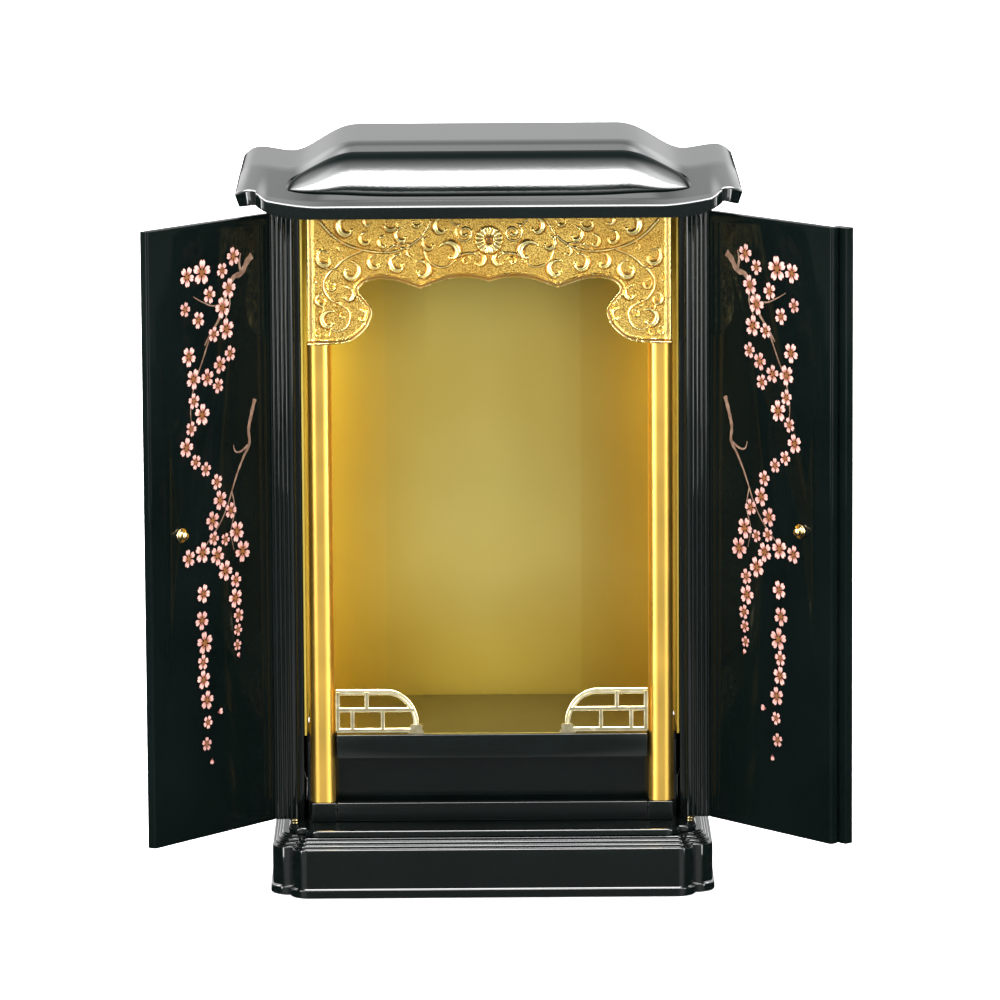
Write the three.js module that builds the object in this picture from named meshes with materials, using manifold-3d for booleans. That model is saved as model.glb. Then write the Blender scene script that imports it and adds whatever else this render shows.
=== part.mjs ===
// Household altar cabinet in black lacquered wood, with a gold interior and two doors that carry
// their own fluted corner pillars. Millimetres, +Z up, the front faces -Y, and the origin is the
// middle of the plinth's underside. The doors stand open.
import * as THREE from 'three';
import { mergeVertices } from 'three/addons/utils/BufferGeometryUtils.js';
import Module from 'manifold-3d';

const fitGap = 0.3; // between pieces that touch
const arcSteps = 5; // facets in a quarter turn
const turnedSides = 10;

// plinth: a notched block with stepped mouldings
const plinthWidth = 223;
const plinthDepth = 156;
const plinthHeight = 29.6;
const plinthNotch = 10; // how far the corners step in, both ways
const plinthCornerRadius = 9.5;
const footHeight = 4.2;
const footStep = 1;
const plinthStepInset = 1.5; // inset of each moulding step
const plinthStepHeight = 1.7;
const plinthStepCount = 3;

// platform between the plinth and the body
const platformHeight = 3.3;
const platformInset = 5.5; // from the plinth's front and back faces
const platformSideInset = 9.1;
const platformNotch = 8.5;
const platformCornerRadius = 8;

// body
const bodyWidth = 200;
const wallThickness = 5.5;
const backThickness = 4;
const interiorDepth = 106.9; // from the floor's front edge to the gold back
const floorFront = 49.5; // from the middle to the floor's front edge
const bodyHeight = 309.3; // platform to the roof
const liningThickness = 1.2;
const ceilingThickness = 3.2;

// raised floor
const floorHeight = 44.2; // above the platform
const floorThickness = 3;
const apronHeight = 11.9;
const apronThickness = 4;
const sillHeight = 9.5;
const sillThickness = 6;
const recessPanelThickness = 3;

// gold pillars
const pillarWidth = 12.4;
const pillarDepth = 11;
const pillarEdgeRadius = 5;
const pillarSetIn = 8.7; // from the body's side to the pillar
const pedestalMargin = 0.6;

// handrails
const railHeight = 21.2; // middle of the top rail above the floor
const railMiddle = 12.2;
const railLow = 1.7;
const railSize = 2.5;
const topRailSize = 3.2;
const railDepth = 2.2;
const railLength = 25; // straight part of the top rail
const railArcReach = 15; // how far the rail's end curves out
const railFootWidth = 8;
const railFootTaper = 1.3; // how much narrower each side is at the top
const railFootHeight = 4.6;
const railSetBack = 1.5;
const railSink = 0.4; // how far the bars run into each other

// carved valance
const valanceHeight = 63.5;
const valanceThickness = 2.6;
const reliefHeight = 1.4;
const reliefSink = 0.4; // how far relief is rooted in the ground
const valanceBorder = 1.1;
const valanceArch = 32.8; // arch top above the valance's lower ends
const valanceNeckDrop = 5.5;
const valanceLobe = 58.2; // half the width between the lobes
const valanceNeck = 6.7; // how far the neck steps out from the lobe
const valanceCusp = 34.2; // side cusp from the middle
const archCuspDrop = 5.2;
const middleCuspDrop = 1.9;
const rosetteRadius = 6.8;
const rosetteDrop = 11.3; // from the valance's top to the rosette's middle
const petalCount = 16;
const scrollWidth = 1.5;

// doors
const leafThickness = 5.2;
const leafLift = 1.5; // above the platform
const doorGap = 0.8; // between the two closed doors
const pivotOffset = 0.4; // from the body's side in to the pivots
const pivotForward = 3.1; // from the body's front edges to the pivots
const doorPillarLength = 9.96; // from the pivots to the leaf's corner
const openAngle = 129.5; // degrees, as the doors stand
const fluteCount = 4;
const fluteDepth = 0.5;
const fluteLand = 0.35; // flat between two flutes
const fluteFacets = 5;
const beadStart = 2.4; // grooves beside the corner, from the corner
const beadWidth = 4.5;
const grooveWidth = 0.9;
const grooveDepth = 0.5;
const grooveMargin = 5; // short of the leaf's ends
const astragalWidth = 10;
const astragalThickness = 5.4;
const astragalOverlap = 4.7;
const knobFromEdge = 21.8;
const knobHeight = 154; // above the leaf's lower end
const knobShaftRadius = 1.5;
const pivotRadius = 1.2;
const pivotDepth = 6;
const collarRadius = 2.3;

// roof
const roofWidth = 250.8;
const roofFront = 87; // from the middle to the front edge
const roofBack = 82;
const roofNotch = 9;
const roofLobeHalf = 115;
const roofCornerRadius = 6;
const roofLift = 1.6; // above the leaves
const eaveThickness = 6.3;
const humpRise = 28.8; // hump's top above the roof's underside
const humpFlat = 65; // half the flat part
const valleyAt = 100; // valley from the middle
const valleyRise = 15.4;
const crestAt = 116.5; // ear's crest from the middle
const crestRise = 17.4;
const earEndRise = 12.4;
const frontCrestRise = 13.8;
const frontValleyRise = 9.4;
const frontFlat = 85;
const earUnderRise = 7.2; // cusp below the ear
const earTipRise = 4.7;
const earTipLean = 2.1;
const eaveStrip = 13; // level strip along the front edge
const stripRise = 1.9;
const creaseAt = 3; // hump's front crease, in front of the middle

// bulging panel on the roof's front slope
const panelHalf = 99.5;
const panelMiddle = 52; // in front of the middle
const panelUp = 35;
const panelDown = 17;
const panelCrown = 4.4;
const panelSeat = 1.8;
const panelGroove = 1.8;

const black = new THREE.MeshStandardMaterial({ color: 0x0b0d0c, roughness: 0.08 });
const gold = new THREE.MeshStandardMaterial({ color: 0xd9a441, roughness: 0.3, metalness: 1 });
const paleGold = new THREE.MeshStandardMaterial({ color: 0xe8d9a0, roughness: 0.25, metalness: 1 });
const foil = new THREE.MeshStandardMaterial({ color: 0xb8a25c, roughness: 0.4, metalness: 0.8 });

const platformBase = plinthHeight + fitGap;
const platformTop = platformBase + platformHeight;
const bodyBase = platformTop + fitGap;
const bodyTop = platformTop + bodyHeight;
const roofBase = bodyTop + fitGap;
const bodyHalf = bodyWidth / 2;
const innerHalf = bodyHalf - wallThickness;
const liningFace = innerHalf - fitGap - liningThickness;
const floorTop = platformTop + floorHeight;
const floorFrontY = -floorFront;
const backFaceY = floorFrontY + interiorDepth;
const backWallY = backFaceY + liningThickness + fitGap;
const bodyBackY = backWallY + backThickness;
const ceilingBase = bodyTop - ceilingThickness;
const pillarFrontY = floorFrontY;
const pillarOuter = bodyHalf - pillarSetIn;
const pillarInner = pillarOuter - pillarWidth;
const pillarBackY = pillarFrontY + pillarDepth;
const sillTop = platformTop + sillHeight;
const valanceTop = ceilingBase - fitGap;
const valanceHalf = pillarOuter - pedestalMargin;
const valanceGroundY = floorFrontY + 0.3;
const pillarTop = valanceTop - valanceHeight - fitGap;
const leafBase = platformTop + leafLift;
const leafTop = roofBase - roofLift;
const wallFrontY = pillarFrontY + 6;
const pivotX = bodyHalf - pivotOffset;
const pivotY = wallFrontY - pivotForward;

const wasm = await Module();
wasm.setup();

const smooth = (t) => {
  const u = Math.min(Math.max(t, 0), 1);
  return u * u * (3 - 2 * u);
};
const mix = (a, b, t) => a + (b - a) * t;

function toSolid(geometry) {
  const bare = geometry.clone();
  bare.deleteAttribute('normal');
  bare.deleteAttribute('uv');
  const merged = mergeVertices(bare, 1e-4);
  const vertProperties = new Float32Array(merged.attributes.position.array);
  const triVerts = new Uint32Array(merged.index.array);
  return new wasm.Manifold(new wasm.Mesh({ numProp: 3, vertProperties, triVerts }));
}

function toGeometry(solid) {
  const mesh = solid.getMesh();
  const geometry = new THREE.BufferGeometry();
  geometry.setAttribute('position', new THREE.BufferAttribute(mesh.vertProperties, 3));
  geometry.setIndex(new THREE.BufferAttribute(mesh.triVerts, 1));
  return geometry;
}

const join = (first, ...rest) => toGeometry(rest.reduce((sum, g) => sum.add(toSolid(g)), toSolid(first)));
const cut = (body, ...tools) => toGeometry(tools.reduce((sum, g) => sum.subtract(toSolid(g)), toSolid(body)));
const common = (a, b) => toGeometry(toSolid(a).intersect(toSolid(b)));

// turns a closed mesh's faces outward where they point in
function outward(geometry) {
  const position = geometry.attributes.position;
  const index = geometry.index.array;
  const [a, b, c] = [new THREE.Vector3(), new THREE.Vector3(), new THREE.Vector3()];
  let volume = 0;
  for (let i = 0; i < index.length; i += 3) {
    a.fromBufferAttribute(position, index[i]);
    b.fromBufferAttribute(position, index[i + 1]);
    c.fromBufferAttribute(position, index[i + 2]);
    volume += a.dot(b.cross(c));
  }
  if (volume < 0) {
    for (let i = 0; i < index.length; i += 3) [index[i], index[i + 1]] = [index[i + 1], index[i]];
  }
  return geometry;
}

const nudge = new THREE.Vector2(1e-6, 6e-7);

// closed solid through rings of equally many points, capped at both ends
function loft(rings, flatten) {
  const count = rings[0].length;
  const index = [];
  for (let r = 0; r + 1 < rings.length; r += 1) {
    for (let i = 0; i < count; i += 1) {
      const a = r * count + i;
      const b = r * count + ((i + 1) % count);
      index.push(a, b, b + count, a, b + count, a + count);
    }
  }
  const cap = (ring, start, flip) => {
    // points in line with their neighbours are nudged, so that the cap keeps them
    const flat = ring.map(flatten).map((p, i) => p.addScaledVector(nudge, i % 2));
    const sense = THREE.ShapeUtils.area(flat) > 0;
    for (const [i, j, k] of THREE.ShapeUtils.triangulateShape(flat, [])) {
      if (sense === flip) index.push(start + i, start + k, start + j);
      else index.push(start + i, start + j, start + k);
    }
  };
  cap(rings[0], 0, true);
  cap(rings.at(-1), (rings.length - 1) * count, false);
  const geometry = new THREE.BufferGeometry();
  const numbers = rings.flat().flatMap((p) => [p.x, p.y, p.z]);
  geometry.setAttribute('position', new THREE.Float32BufferAttribute(numbers, 3));
  geometry.setIndex(index);
  return outward(geometry);
}

const fromAbove = (p) => new THREE.Vector2(p.x, p.y);
const fromFront = (p) => new THREE.Vector2(p.x, p.z);

// upright solid on a plan outline, given anticlockwise from above
const prism = (outline, z0, z1) => loft(
  [z0, z1].map((z) => outline.map(([x, y]) => new THREE.Vector3(x, y, z))),
  fromAbove,
);

// solid between two depths on an outline seen from the front
const frontPrism = (outline, y0, y1) => loft(
  [y0, y1].map((y) => outline.map((p) => new THREE.Vector3(p.x, y, p.y))),
  fromFront,
);

function block(x0, x1, y0, y1, z0, z1) {
  const geometry = new THREE.BoxGeometry(Math.abs(x1 - x0), y1 - y0, z1 - z0);
  return geometry.translate((x0 + x1) / 2, (y0 + y1) / 2, (z0 + z1) / 2);
}

function arc(cx, cy, radius, from, to, steps = arcSteps) {
  const points = [];
  for (let i = 0; i <= steps; i += 1) {
    const angle = THREE.MathUtils.degToRad(mix(from, to, i / steps));
    points.push([cx + radius * Math.cos(angle), cy + radius * Math.sin(angle)]);
  }
  return points;
}

// plan outline with notched corners: the front lobe, the notch, then the side lobe's round corner
function notchedOutline({ half, front, back, lobeHalf, notch, radius, squareBack }, inset = 0) {
  const sideRadius = half - lobeHalf;
  const lobeRadius = Math.max(radius - inset, 0.4);
  const corner = (sign, edge) => {
    const lobe = lobeHalf - inset;
    const path = arc(lobe - lobeRadius, edge - inset - lobeRadius, lobeRadius, 90, 0)
      .concat(arc(lobe, edge - notch - inset - sideRadius, sideRadius, 90, 0));
    return path.map(([x, y]) => [x, sign * y]);
  };
  const frontRight = corner(-1, front);
  const backRight = squareBack ? [[half - inset, back - inset]] : corner(1, back).reverse();
  const right = frontRight.concat(backRight);
  const left = right.map(([x, y]) => [-x, y]).reverse();
  return right.concat(left);
}

function ringStack(plan, profile) {
  const rings = profile.map(([inset, z]) => notchedOutline(plan, inset)
    .map(([x, y]) => new THREE.Vector3(x, y, z)));
  return loft(rings, fromAbove);
}

const group = new THREE.Group();

function addTo(parent, name, geometry, material) {
  const mesh = new THREE.Mesh(geometry, material);
  mesh.name = name;
  parent.add(mesh);
  return mesh;
}
const add = (name, geometry, material) => addTo(group, name, geometry, material);

const plinthPlan = {
  half: plinthWidth / 2,
  front: plinthDepth / 2,
  back: plinthDepth / 2,
  lobeHalf: plinthWidth / 2 - plinthNotch,
  notch: plinthNotch,
  radius: plinthCornerRadius,
};

// the plinth's moulded side: foot, upright face, then steps up to the top
function plinthProfile() {
  const profile = [[0, 0], [0, footHeight], [footStep / 2, footHeight + footStep / 2]];
  let inset = footStep;
  let z = plinthHeight - plinthStepCount * plinthStepHeight;
  profile.push([inset, footHeight + footStep], [inset, z - 0.4]);
  for (let i = 0; i < plinthStepCount; i += 1) {
    profile.push([inset + 0.3, z], [inset + plinthStepInset - 0.2, z + 0.2]);
    inset += plinthStepInset;
    z += plinthStepHeight;
    profile.push([inset, z - (i + 1 < plinthStepCount ? 0.4 : 0.3)]);
  }
  profile.push([inset + 0.3, plinthHeight]);
  return profile;
}
add('plinth', ringStack(plinthPlan, plinthProfile()), black);

const platformPlan = {
  half: plinthWidth / 2 - platformSideInset,
  front: plinthDepth / 2 - platformInset,
  back: plinthDepth / 2 - platformInset,
  lobeHalf: plinthWidth / 2 - platformSideInset - platformNotch,
  notch: platformNotch,
  radius: platformCornerRadius,
};
add('body_platform', ringStack(platformPlan, [
  [0, platformBase],
  [0, platformTop - 0.4],
  [0.4, platformTop],
]), black);

for (const side of [-1, 1]) {
  const hand = side < 0 ? 'left' : 'right';
  add(
    `${hand}_side_wall`,
    block(side * innerHalf, side * bodyHalf, wallFrontY, bodyBackY, bodyBase, bodyTop),
    black,
  );
  add(
    `${hand}_gold_lining`,
    block(
      side * liningFace,
      side * (liningFace + liningThickness),
      wallFrontY,
      backFaceY - fitGap,
      floorTop - liningThickness,
      ceilingBase - fitGap,
    ),
    foil,
  );
  add(
    `${hand}_pillar_base`,
    block(
      side * (pillarInner - pedestalMargin),
      side * (pillarOuter - pedestalMargin),
      pillarFrontY - pedestalMargin,
      pillarBackY,
      bodyBase,
      sillTop,
    ),
    black,
  );
  add(`${hand}_gold_pillar`, goldPillar(side), gold);
  add(`${hand}_handrail`, handrail(side), paleGold);
}
const innerEdge = innerHalf - fitGap;
add('back_wall', block(-innerEdge, innerEdge, backWallY, bodyBackY, bodyBase, ceilingBase - fitGap), black);
const ceilingPlan = steppedPlan(innerEdge, pillarOuter - pedestalMargin, floorFrontY, wallFrontY, bodyBackY);
add('ceiling_board', prism(ceilingPlan, ceilingBase, bodyTop), black);
add(
  'gold_back_board',
  block(
    -innerEdge,
    innerEdge,
    backFaceY,
    backFaceY + liningThickness,
    floorTop - liningThickness,
    ceilingBase - fitGap,
  ),
  foil,
);

// plan of a board that is narrower in front of its shoulders
function steppedPlan(wide, narrow, frontY, shoulderY, backY) {
  return [
    [-narrow, frontY], [narrow, frontY], [narrow, shoulderY], [wide, shoulderY],
    [wide, backY], [-wide, backY], [-wide, shoulderY], [-narrow, shoulderY],
  ];
}
const slabTop = floorTop - liningThickness - fitGap;
const slabBase = slabTop - floorThickness;
const apronHalf = pillarInner - pedestalMargin - fitGap;
const floorPlan = (frontY) => steppedPlan(
  liningFace - fitGap,
  apronHalf,
  frontY,
  pillarBackY + fitGap,
  backFaceY - fitGap,
);
add('raised_floor', join(
  prism(floorPlan(floorFrontY), slabBase, slabTop),
  block(-apronHalf, apronHalf, floorFrontY, floorFrontY + apronThickness, floorTop - apronHeight, floorTop),
), black);
add(
  'gold_floor_board',
  prism(floorPlan(floorFrontY + apronThickness + fitGap), floorTop - liningThickness, floorTop),
  foil,
);
const recessY = pillarBackY + fitGap;
add(
  'recess_panel',
  block(-liningFace, liningFace, recessY, recessY + recessPanelThickness, bodyBase, slabBase - fitGap),
  black,
);
const sillFrontY = floorFrontY - pedestalMargin / 2;
add(
  'front_sill',
  block(-apronHalf, apronHalf, sillFrontY, floorFrontY + sillThickness, bodyBase, sillTop),
  black,
);

// square pillar with round front edges
function goldPillar(side) {
  const middle = (pillarInner + pillarOuter) / 2;
  const reach = pillarWidth / 2 - pillarEdgeRadius;
  const round = pillarFrontY + pillarEdgeRadius;
  const outline = [[pillarWidth / 2, pillarBackY], [-pillarWidth / 2, pillarBackY]]
    .concat(arc(-reach, round, pillarEdgeRadius, 180, 270))
    .concat(arc(reach, round, pillarEdgeRadius, 270, 360))
    .map(([x, y]) => [side * middle + x, y]);
  return prism(outline, sillTop + fitGap, pillarTop);
}

// low balustrade: three rails on posts, the top one curving down onto a foot block
function handrail(side) {
  const y0 = floorFrontY + railSetBack;
  const y1 = y0 + railDepth;
  const start = pillarInner - pedestalMargin - fitGap;
  const arcStart = start - railLength;
  const end = arcStart - railArcReach;
  const z = (height) => floorTop + fitGap + height;
  const bar = (from, to, low, high) => block(side * from, side * to, y0, y1, z(low), z(high));
  const halfTop = topRailSize / 2;
  const halfRail = railSize / 2;
  const outer = { x: railArcReach + halfTop, z: railHeight + halfTop - railFootHeight };
  const inner = { x: railArcReach - halfTop, z: railHeight - halfTop - railFootHeight };
  const springZ = railFootHeight - railSink;
  const quarter = (r, from, to) => arc(0, 0, 1, from, to, 10)
    .map(([x, y]) => new THREE.Vector2(side * (arcStart - x * r.x), z(springZ + y * (r.z + railSink))));
  const foot = [
    [-railFootWidth / 2, 0], [railFootWidth / 2, 0],
    [railFootWidth / 2 - railFootTaper, railFootHeight], [railFootTaper - railFootWidth / 2, railFootHeight],
  ].map(([x, height]) => new THREE.Vector2(side * end + x, z(height)));
  const lengthwise = (outline) => frontPrism(outline, y0, y1);
  const parts = [
    lengthwise(quarter(outer, 0, 90).concat(quarter(inner, 90, 0))),
    lengthwise(foot),
    bar(start, arcStart - railSink, railHeight - halfTop, railHeight + halfTop),
    bar(start, end + halfTop, railMiddle - halfRail, railMiddle + halfRail),
    bar(start, end, railLow - halfRail, railLow + halfRail),
    bar(start, start - halfRail, railLow, railHeight),
  ];
  const post = (at, low, high) => bar(at - halfRail, at + halfRail, low, high);
  const span = start - end;
  parts.push(post(start - span * 0.38, railMiddle, railHeight));
  parts.push(post(start - span * 0.2, railLow, railMiddle));
  parts.push(post(start - span * 0.58, railLow, railMiddle));
  return join(...parts);
}

// half of the valance's lower edge, from the pillar in to the middle, as heights above its ends
function valanceEdge() {
  const neck = valanceArch - valanceNeckDrop;
  const cusp = valanceArch - archCuspDrop;
  const side = valanceLobe + valanceNeck;
  const curves = [
    [
      [valanceHalf, 0], [side + 15, 0.1], [side + 7.7, 0.7], [side + 3.3, 2], [valanceLobe + 5.6, 5.3],
      [valanceLobe + 2.3, 9], [valanceLobe + 0.4, 13.4], [valanceLobe, 16.3], [valanceLobe + 1.2, 19.6],
      [side - 2.5, neck - 4], [side - 0.5, neck - 1.8], [side, neck], [side - 0.7, neck + 1.5],
      [side - 3.2, valanceArch - 1.9], [side - 6.9, valanceArch - 0.7], [side - 10.6, valanceArch - 0.3],
      [side - 17.9, valanceArch - 0.9], [valanceCusp + 6.9, valanceArch - 2.7], [valanceCusp, cusp],
    ],
    [
      [valanceCusp, cusp], [valanceCusp - 6.2, valanceArch - 2.9], [valanceCusp - 12.8, valanceArch - 0.7],
      [valanceCusp - 19.4, valanceArch + 0.3], [valanceCusp / 4, valanceArch + 0.1],
      [valanceCusp / 9, valanceArch - 0.7], [0, valanceArch - middleCuspDrop],
    ],
  ];
  return curves.flatMap((points, i) => {
    const curve = new THREE.SplineCurve(points.map(([x, z]) => new THREE.Vector2(x, z)));
    return curve.getPoints(i ? 8 : 26).slice(i ? 1 : 0);
  });
}

// ridge of relief along a path in the valance's face, its width and height changing along it
function ridge(path, width, height) {
  const rings = path.map((p, i) => {
    const before = path[Math.max(i - 1, 0)];
    const after = path[Math.min(i + 1, path.length - 1)];
    const across = new THREE.Vector2(before.y - after.y, after.x - before.x).normalize();
    const t = i / (path.length - 1);
    const corner = (offset, lift) => new THREE.Vector3(
      p.x + across.x * offset * width(t),
      valanceGroundY + reliefSink - lift,
      p.y + across.y * offset * width(t),
    );
    const rise = reliefSink + height(t);
    return [corner(-0.5, 0), corner(0.5, 0), corner(0.22, rise), corner(-0.22, rise)];
  });
  return loft(rings, (_, i) => new THREE.Vector2(Math.cos((i * Math.PI) / 2), Math.sin((i * Math.PI) / 2)));
}

// comma-shaped leaf curl: a crescent that swells and closes in on itself
function leafCurl(side, [x, drop, size, turn]) {
  const steps = 5;
  const path = [];
  for (let i = 0; i <= steps; i += 1) {
    const t = i / steps;
    const angle = THREE.MathUtils.degToRad(turn + 265 * t);
    const radius = size * (1 - 0.55 * t * t);
    const across = side * (x + radius * Math.cos(angle));
    path.push(new THREE.Vector2(across, valanceTop - drop + radius * Math.sin(angle)));
  }
  const swell = (t) => Math.sin(Math.PI * Math.min(0.12 + 0.95 * t, 1));
  const width = (t) => scrollWidth * (0.3 + 0.9 * swell(t));
  return ridge(path, width, (t) => reliefHeight * (0.35 + 0.6 * swell(t)));
}

function stem(side, points) {
  const bends = points.map(([x, drop]) => new THREE.Vector2(side * x, valanceTop - drop));
  const path = new THREE.SplineCurve(bends).getPoints(points.length * 2);
  return ridge(path, () => scrollWidth * 0.5, (t) => reliefHeight * (0.3 + 0.2 * Math.sin(Math.PI * t)));
}

// relief of one half, as distances from the middle and below the top: [x, drop, size, turn]
const leafCurls = [
  [83, 19.5, 4, 100], [68.6, 25.2, 4.4, -60], [61, 11.2, 3, 60], [51.6, 12.4, 3.2, 70],
  [56.5, 22.8, 3.2, 80], [45.6, 23.4, 3.8, 90], [34.6, 25.6, 4, 200], [41.8, 8.8, 3.4, 20],
  [21.5, 17.6, 5.4, -110], [12.6, 8.8, 4, 20], [7.4, 22.6, 3.2, -90], [70, 6, 4, 110],
  [70.8, 38.4, 3, -60], [84, 40.4, 2.8, 30], [80.6, 50.4, 3.8, 130], [65.6, 48.6, 3, -70],
];
const stems = [
  [[87, 0.8], [78, 10], [66, 17], [52, 19.4], [38, 14], [29, 6], [25, 1]],
  [[66, 17], [74, 21], [80, 27], [86, 28], [84, 36], [78, 42], [71.5, 46], [70, 53], [76, 57.5], [82, 53]],
  [[31, 8], [30, 17], [25, 25], [18, 24], [12, 19.4], [4.5, 20.5]],
];

// round flower of even petals about a boss
function rosette() {
  const steps = petalCount * 2;
  const outline = [];
  for (let i = 0; i < steps; i += 1) {
    const angle = (i / steps) * Math.PI * 2;
    const radius = rosetteRadius * (i % 2 ? 1 : 0.88);
    const up = radius * Math.sin(angle);
    outline.push(new THREE.Vector2(radius * Math.cos(angle), valanceTop - rosetteDrop + up));
  }
  const bossHeight = reliefHeight + reliefSink;
  const boss = new THREE.CylinderGeometry(rosetteRadius * 0.38, rosetteRadius * 0.38, bossHeight, 16);
  boss.translate(0, valanceGroundY + reliefSink - bossHeight / 2, valanceTop - rosetteDrop);
  return [frontPrism(outline, valanceGroundY - reliefHeight * 0.7, valanceGroundY + reliefSink), boss];
}

function valance() {
  const right = valanceEdge().map((p) => new THREE.Vector2(p.x, valanceTop - valanceHeight + p.y));
  const left = right.slice(0, -1).reverse().map((p) => new THREE.Vector2(-p.x, p.y));
  const top = [new THREE.Vector2(-valanceHalf, valanceTop), new THREE.Vector2(valanceHalf, valanceTop)];
  const parts = rosette();
  for (const side of [-1, 1]) {
    parts.push(...leafCurls.map((curl) => leafCurl(side, curl)));
    parts.push(...stems.map((points) => stem(side, points)));
    for (const offset of [0, 2 * valanceBorder]) {
      const outer = valanceHalf - offset;
      parts.push(block(
        side * outer,
        side * (outer - valanceBorder),
        valanceGroundY - reliefHeight * 0.5,
        valanceGroundY + reliefSink,
        valanceTop - valanceHeight,
        valanceTop,
      ));
    }
  }
  const plate = frontPrism(right.concat(left, top), valanceGroundY, valanceGroundY + valanceThickness);
  return join(plate, ...parts);
}
add('carved_valance', valance(), gold);

// height of the roof's top above its underside, from the middle (x) and along the depth (y)
function sectionRise(x, shape) {
  const a = Math.abs(x);
  if (a <= shape.flat) return shape.top;
  if (a <= shape.valleyAt) {
    return mix(shape.top, shape.valley, shape.fall((a - shape.flat) / (shape.valleyAt - shape.flat)));
  }
  if (a <= crestAt) {
    return mix(shape.valley, shape.crest, smooth((a - shape.valleyAt) / (crestAt - shape.valleyAt)));
  }
  return mix(shape.crest, shape.end, ((a - crestAt) / (roofWidth / 2 - crestAt)) ** 2.2);
}
const frontShape = {
  flat: frontFlat,
  valleyAt: valleyAt + 8,
  top: eaveThickness,
  valley: frontValleyRise,
  crest: frontCrestRise,
  end: frontCrestRise - (crestRise - earEndRise) / 2,
  fall: (t) => t ** 1.5,
};
const backShape = {
  flat: humpFlat,
  valleyAt,
  top: humpRise,
  valley: valleyRise,
  crest: crestRise,
  end: earEndRise,
  fall: (t) => smooth(t ** 1.2),
};

// share of the way from the front edge's section to the back one
function slopeShare(y) {
  const stripShare = stripRise / (humpRise - eaveThickness);
  const stripEnd = -roofFront + eaveStrip;
  if (y <= stripEnd) return stripShare * Math.max((y + roofFront) / eaveStrip, 0);
  const t = (y - stripEnd) / (-creaseAt - stripEnd);
  const knee = 0.12;
  let share = Math.min(t, 1);
  if (Math.abs(t - 1) < knee) share = t - (t - 1 + knee) ** 2 / (4 * knee);
  return mix(stripShare, 1, share);
}
const roofTopZ = (x, y) => roofBase
  + mix(sectionRise(x, frontShape), sectionRise(x, backShape), slopeShare(y));

const cuspAt = roofLobeHalf + 0.3;
function roofUnderZ(x) {
  const from = frontFlat + 1;
  return roofBase + earUnderRise * (Math.max(Math.abs(x) - from, 0) / (cuspAt - from)) ** 3;
}

function roofBody() {
  const end = roofWidth / 2;
  const topAt = [0, 0.8, 2.9, 5.9, end - crestAt, 13, 16, 19].map((d) => end - d)
    .concat([valleyAt + 2, valleyAt - 2, 97, 93, 89, 85, 80, 75, 70, humpFlat, humpFlat / 2, 0])
    .sort((a, b) => b - a);
  const underAt = [cuspAt, cuspAt - 2, cuspAt - 4.5, cuspAt - 8, cuspAt - 13, cuspAt - 19, frontFlat + 1];
  const bothSides = (list) => list.filter((x) => x > 0).map((x) => -x).concat([...list].reverse());
  const knees = [-0.88, -0.94, -1, -1.06, -1.12].map((k) => {
    const stripEnd = -roofFront + eaveStrip;
    return stripEnd - k * (-creaseAt - stripEnd);
  });
  const stations = [-roofFront - 4, -roofFront, -roofFront + eaveStrip, -56, -38, ...knees, roofBack + 4];
  const rings = stations.map((y) => {
    const top = bothSides(topAt).map((x) => new THREE.Vector3(x, y, roofTopZ(x, y)));
    const tip = new THREE.Vector3(end - earTipLean, y, roofBase + earTipRise);
    const under = [tip, ...underAt.map((x) => new THREE.Vector3(x, y, roofUnderZ(x)))];
    const underLeft = [...under].reverse().map((p) => new THREE.Vector3(-p.x, p.y, p.z));
    return top.concat(under, underLeft);
  });
  const plan = {
    half: end,
    front: roofFront,
    back: roofBack,
    lobeHalf: roofLobeHalf,
    notch: roofNotch,
    radius: roofCornerRadius,
    squareBack: true,
  };
  const outline = notchedOutline(plan);
  return common(loft(rings, fromFront), prism(outline, roofBase - 5, roofBase + humpRise + 5));
}

// region on the front slope between two surfaces, grown by a margin; low and high are heights over the roof
function slopePanel(margin, low, high) {
  const columns = 10;
  const rows = 8;
  const half = panelHalf + margin;
  const rings = [];
  for (let c = -columns; c <= columns; c += 1) {
    const across = Math.sin((c / columns) * (Math.PI / 2)) * 0.9998;
    const up = (panelUp + margin) * Math.sqrt(1 - Math.abs(across) ** 26);
    const down = (panelDown + margin) * (1 - Math.abs(across) ** 5.6);
    const x = across * half;
    const ring = [];
    for (let r = 0; r <= rows; r += 1) {
      const along = (1 - Math.cos((Math.PI * r) / rows)) / 2;
      const y = -panelMiddle + mix(-down, up, along);
      ring.push(new THREE.Vector3(x, y, roofTopZ(x, y) + high(across, along)));
    }
    for (const y of [-panelMiddle + up, -panelMiddle - down]) {
      ring.push(new THREE.Vector3(x, y, roofTopZ(x, y) + low));
    }
    rings.push(ring);
  }
  return loft(rings, (p) => new THREE.Vector2(p.y, p.z));
}
const crown = (across, along) => panelCrown
  * Math.max(1 - (2 * along - 1) ** 2, 0) ** 0.6 * (1 - Math.abs(across) ** 9) ** 0.5;
add('roof', cut(roofBody(), slopePanel(panelGroove, -panelSeat, () => 6)), black);
add('roof_front_panel', slopePanel(0, -panelSeat + 2 * fitGap, crown), black);

// doors, drawn closed about their pivots: p runs to the cabinet's middle, q to the back
const diagonal = Math.SQRT1_2;
const halfLeaf = leafThickness / 2;
const onPillar = (s, v) => [diagonal * (s + v), diagonal * (v - s)];
const leafCorner = onPillar(doorPillarLength, halfLeaf);
const leafInnerQ = leafCorner[1];
const leafOuterQ = leafInnerQ - leafThickness;
const outerLength = doorPillarLength - leafThickness + leafThickness / diagonal;
const leafWidth = pivotX - doorGap / 2;

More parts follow.
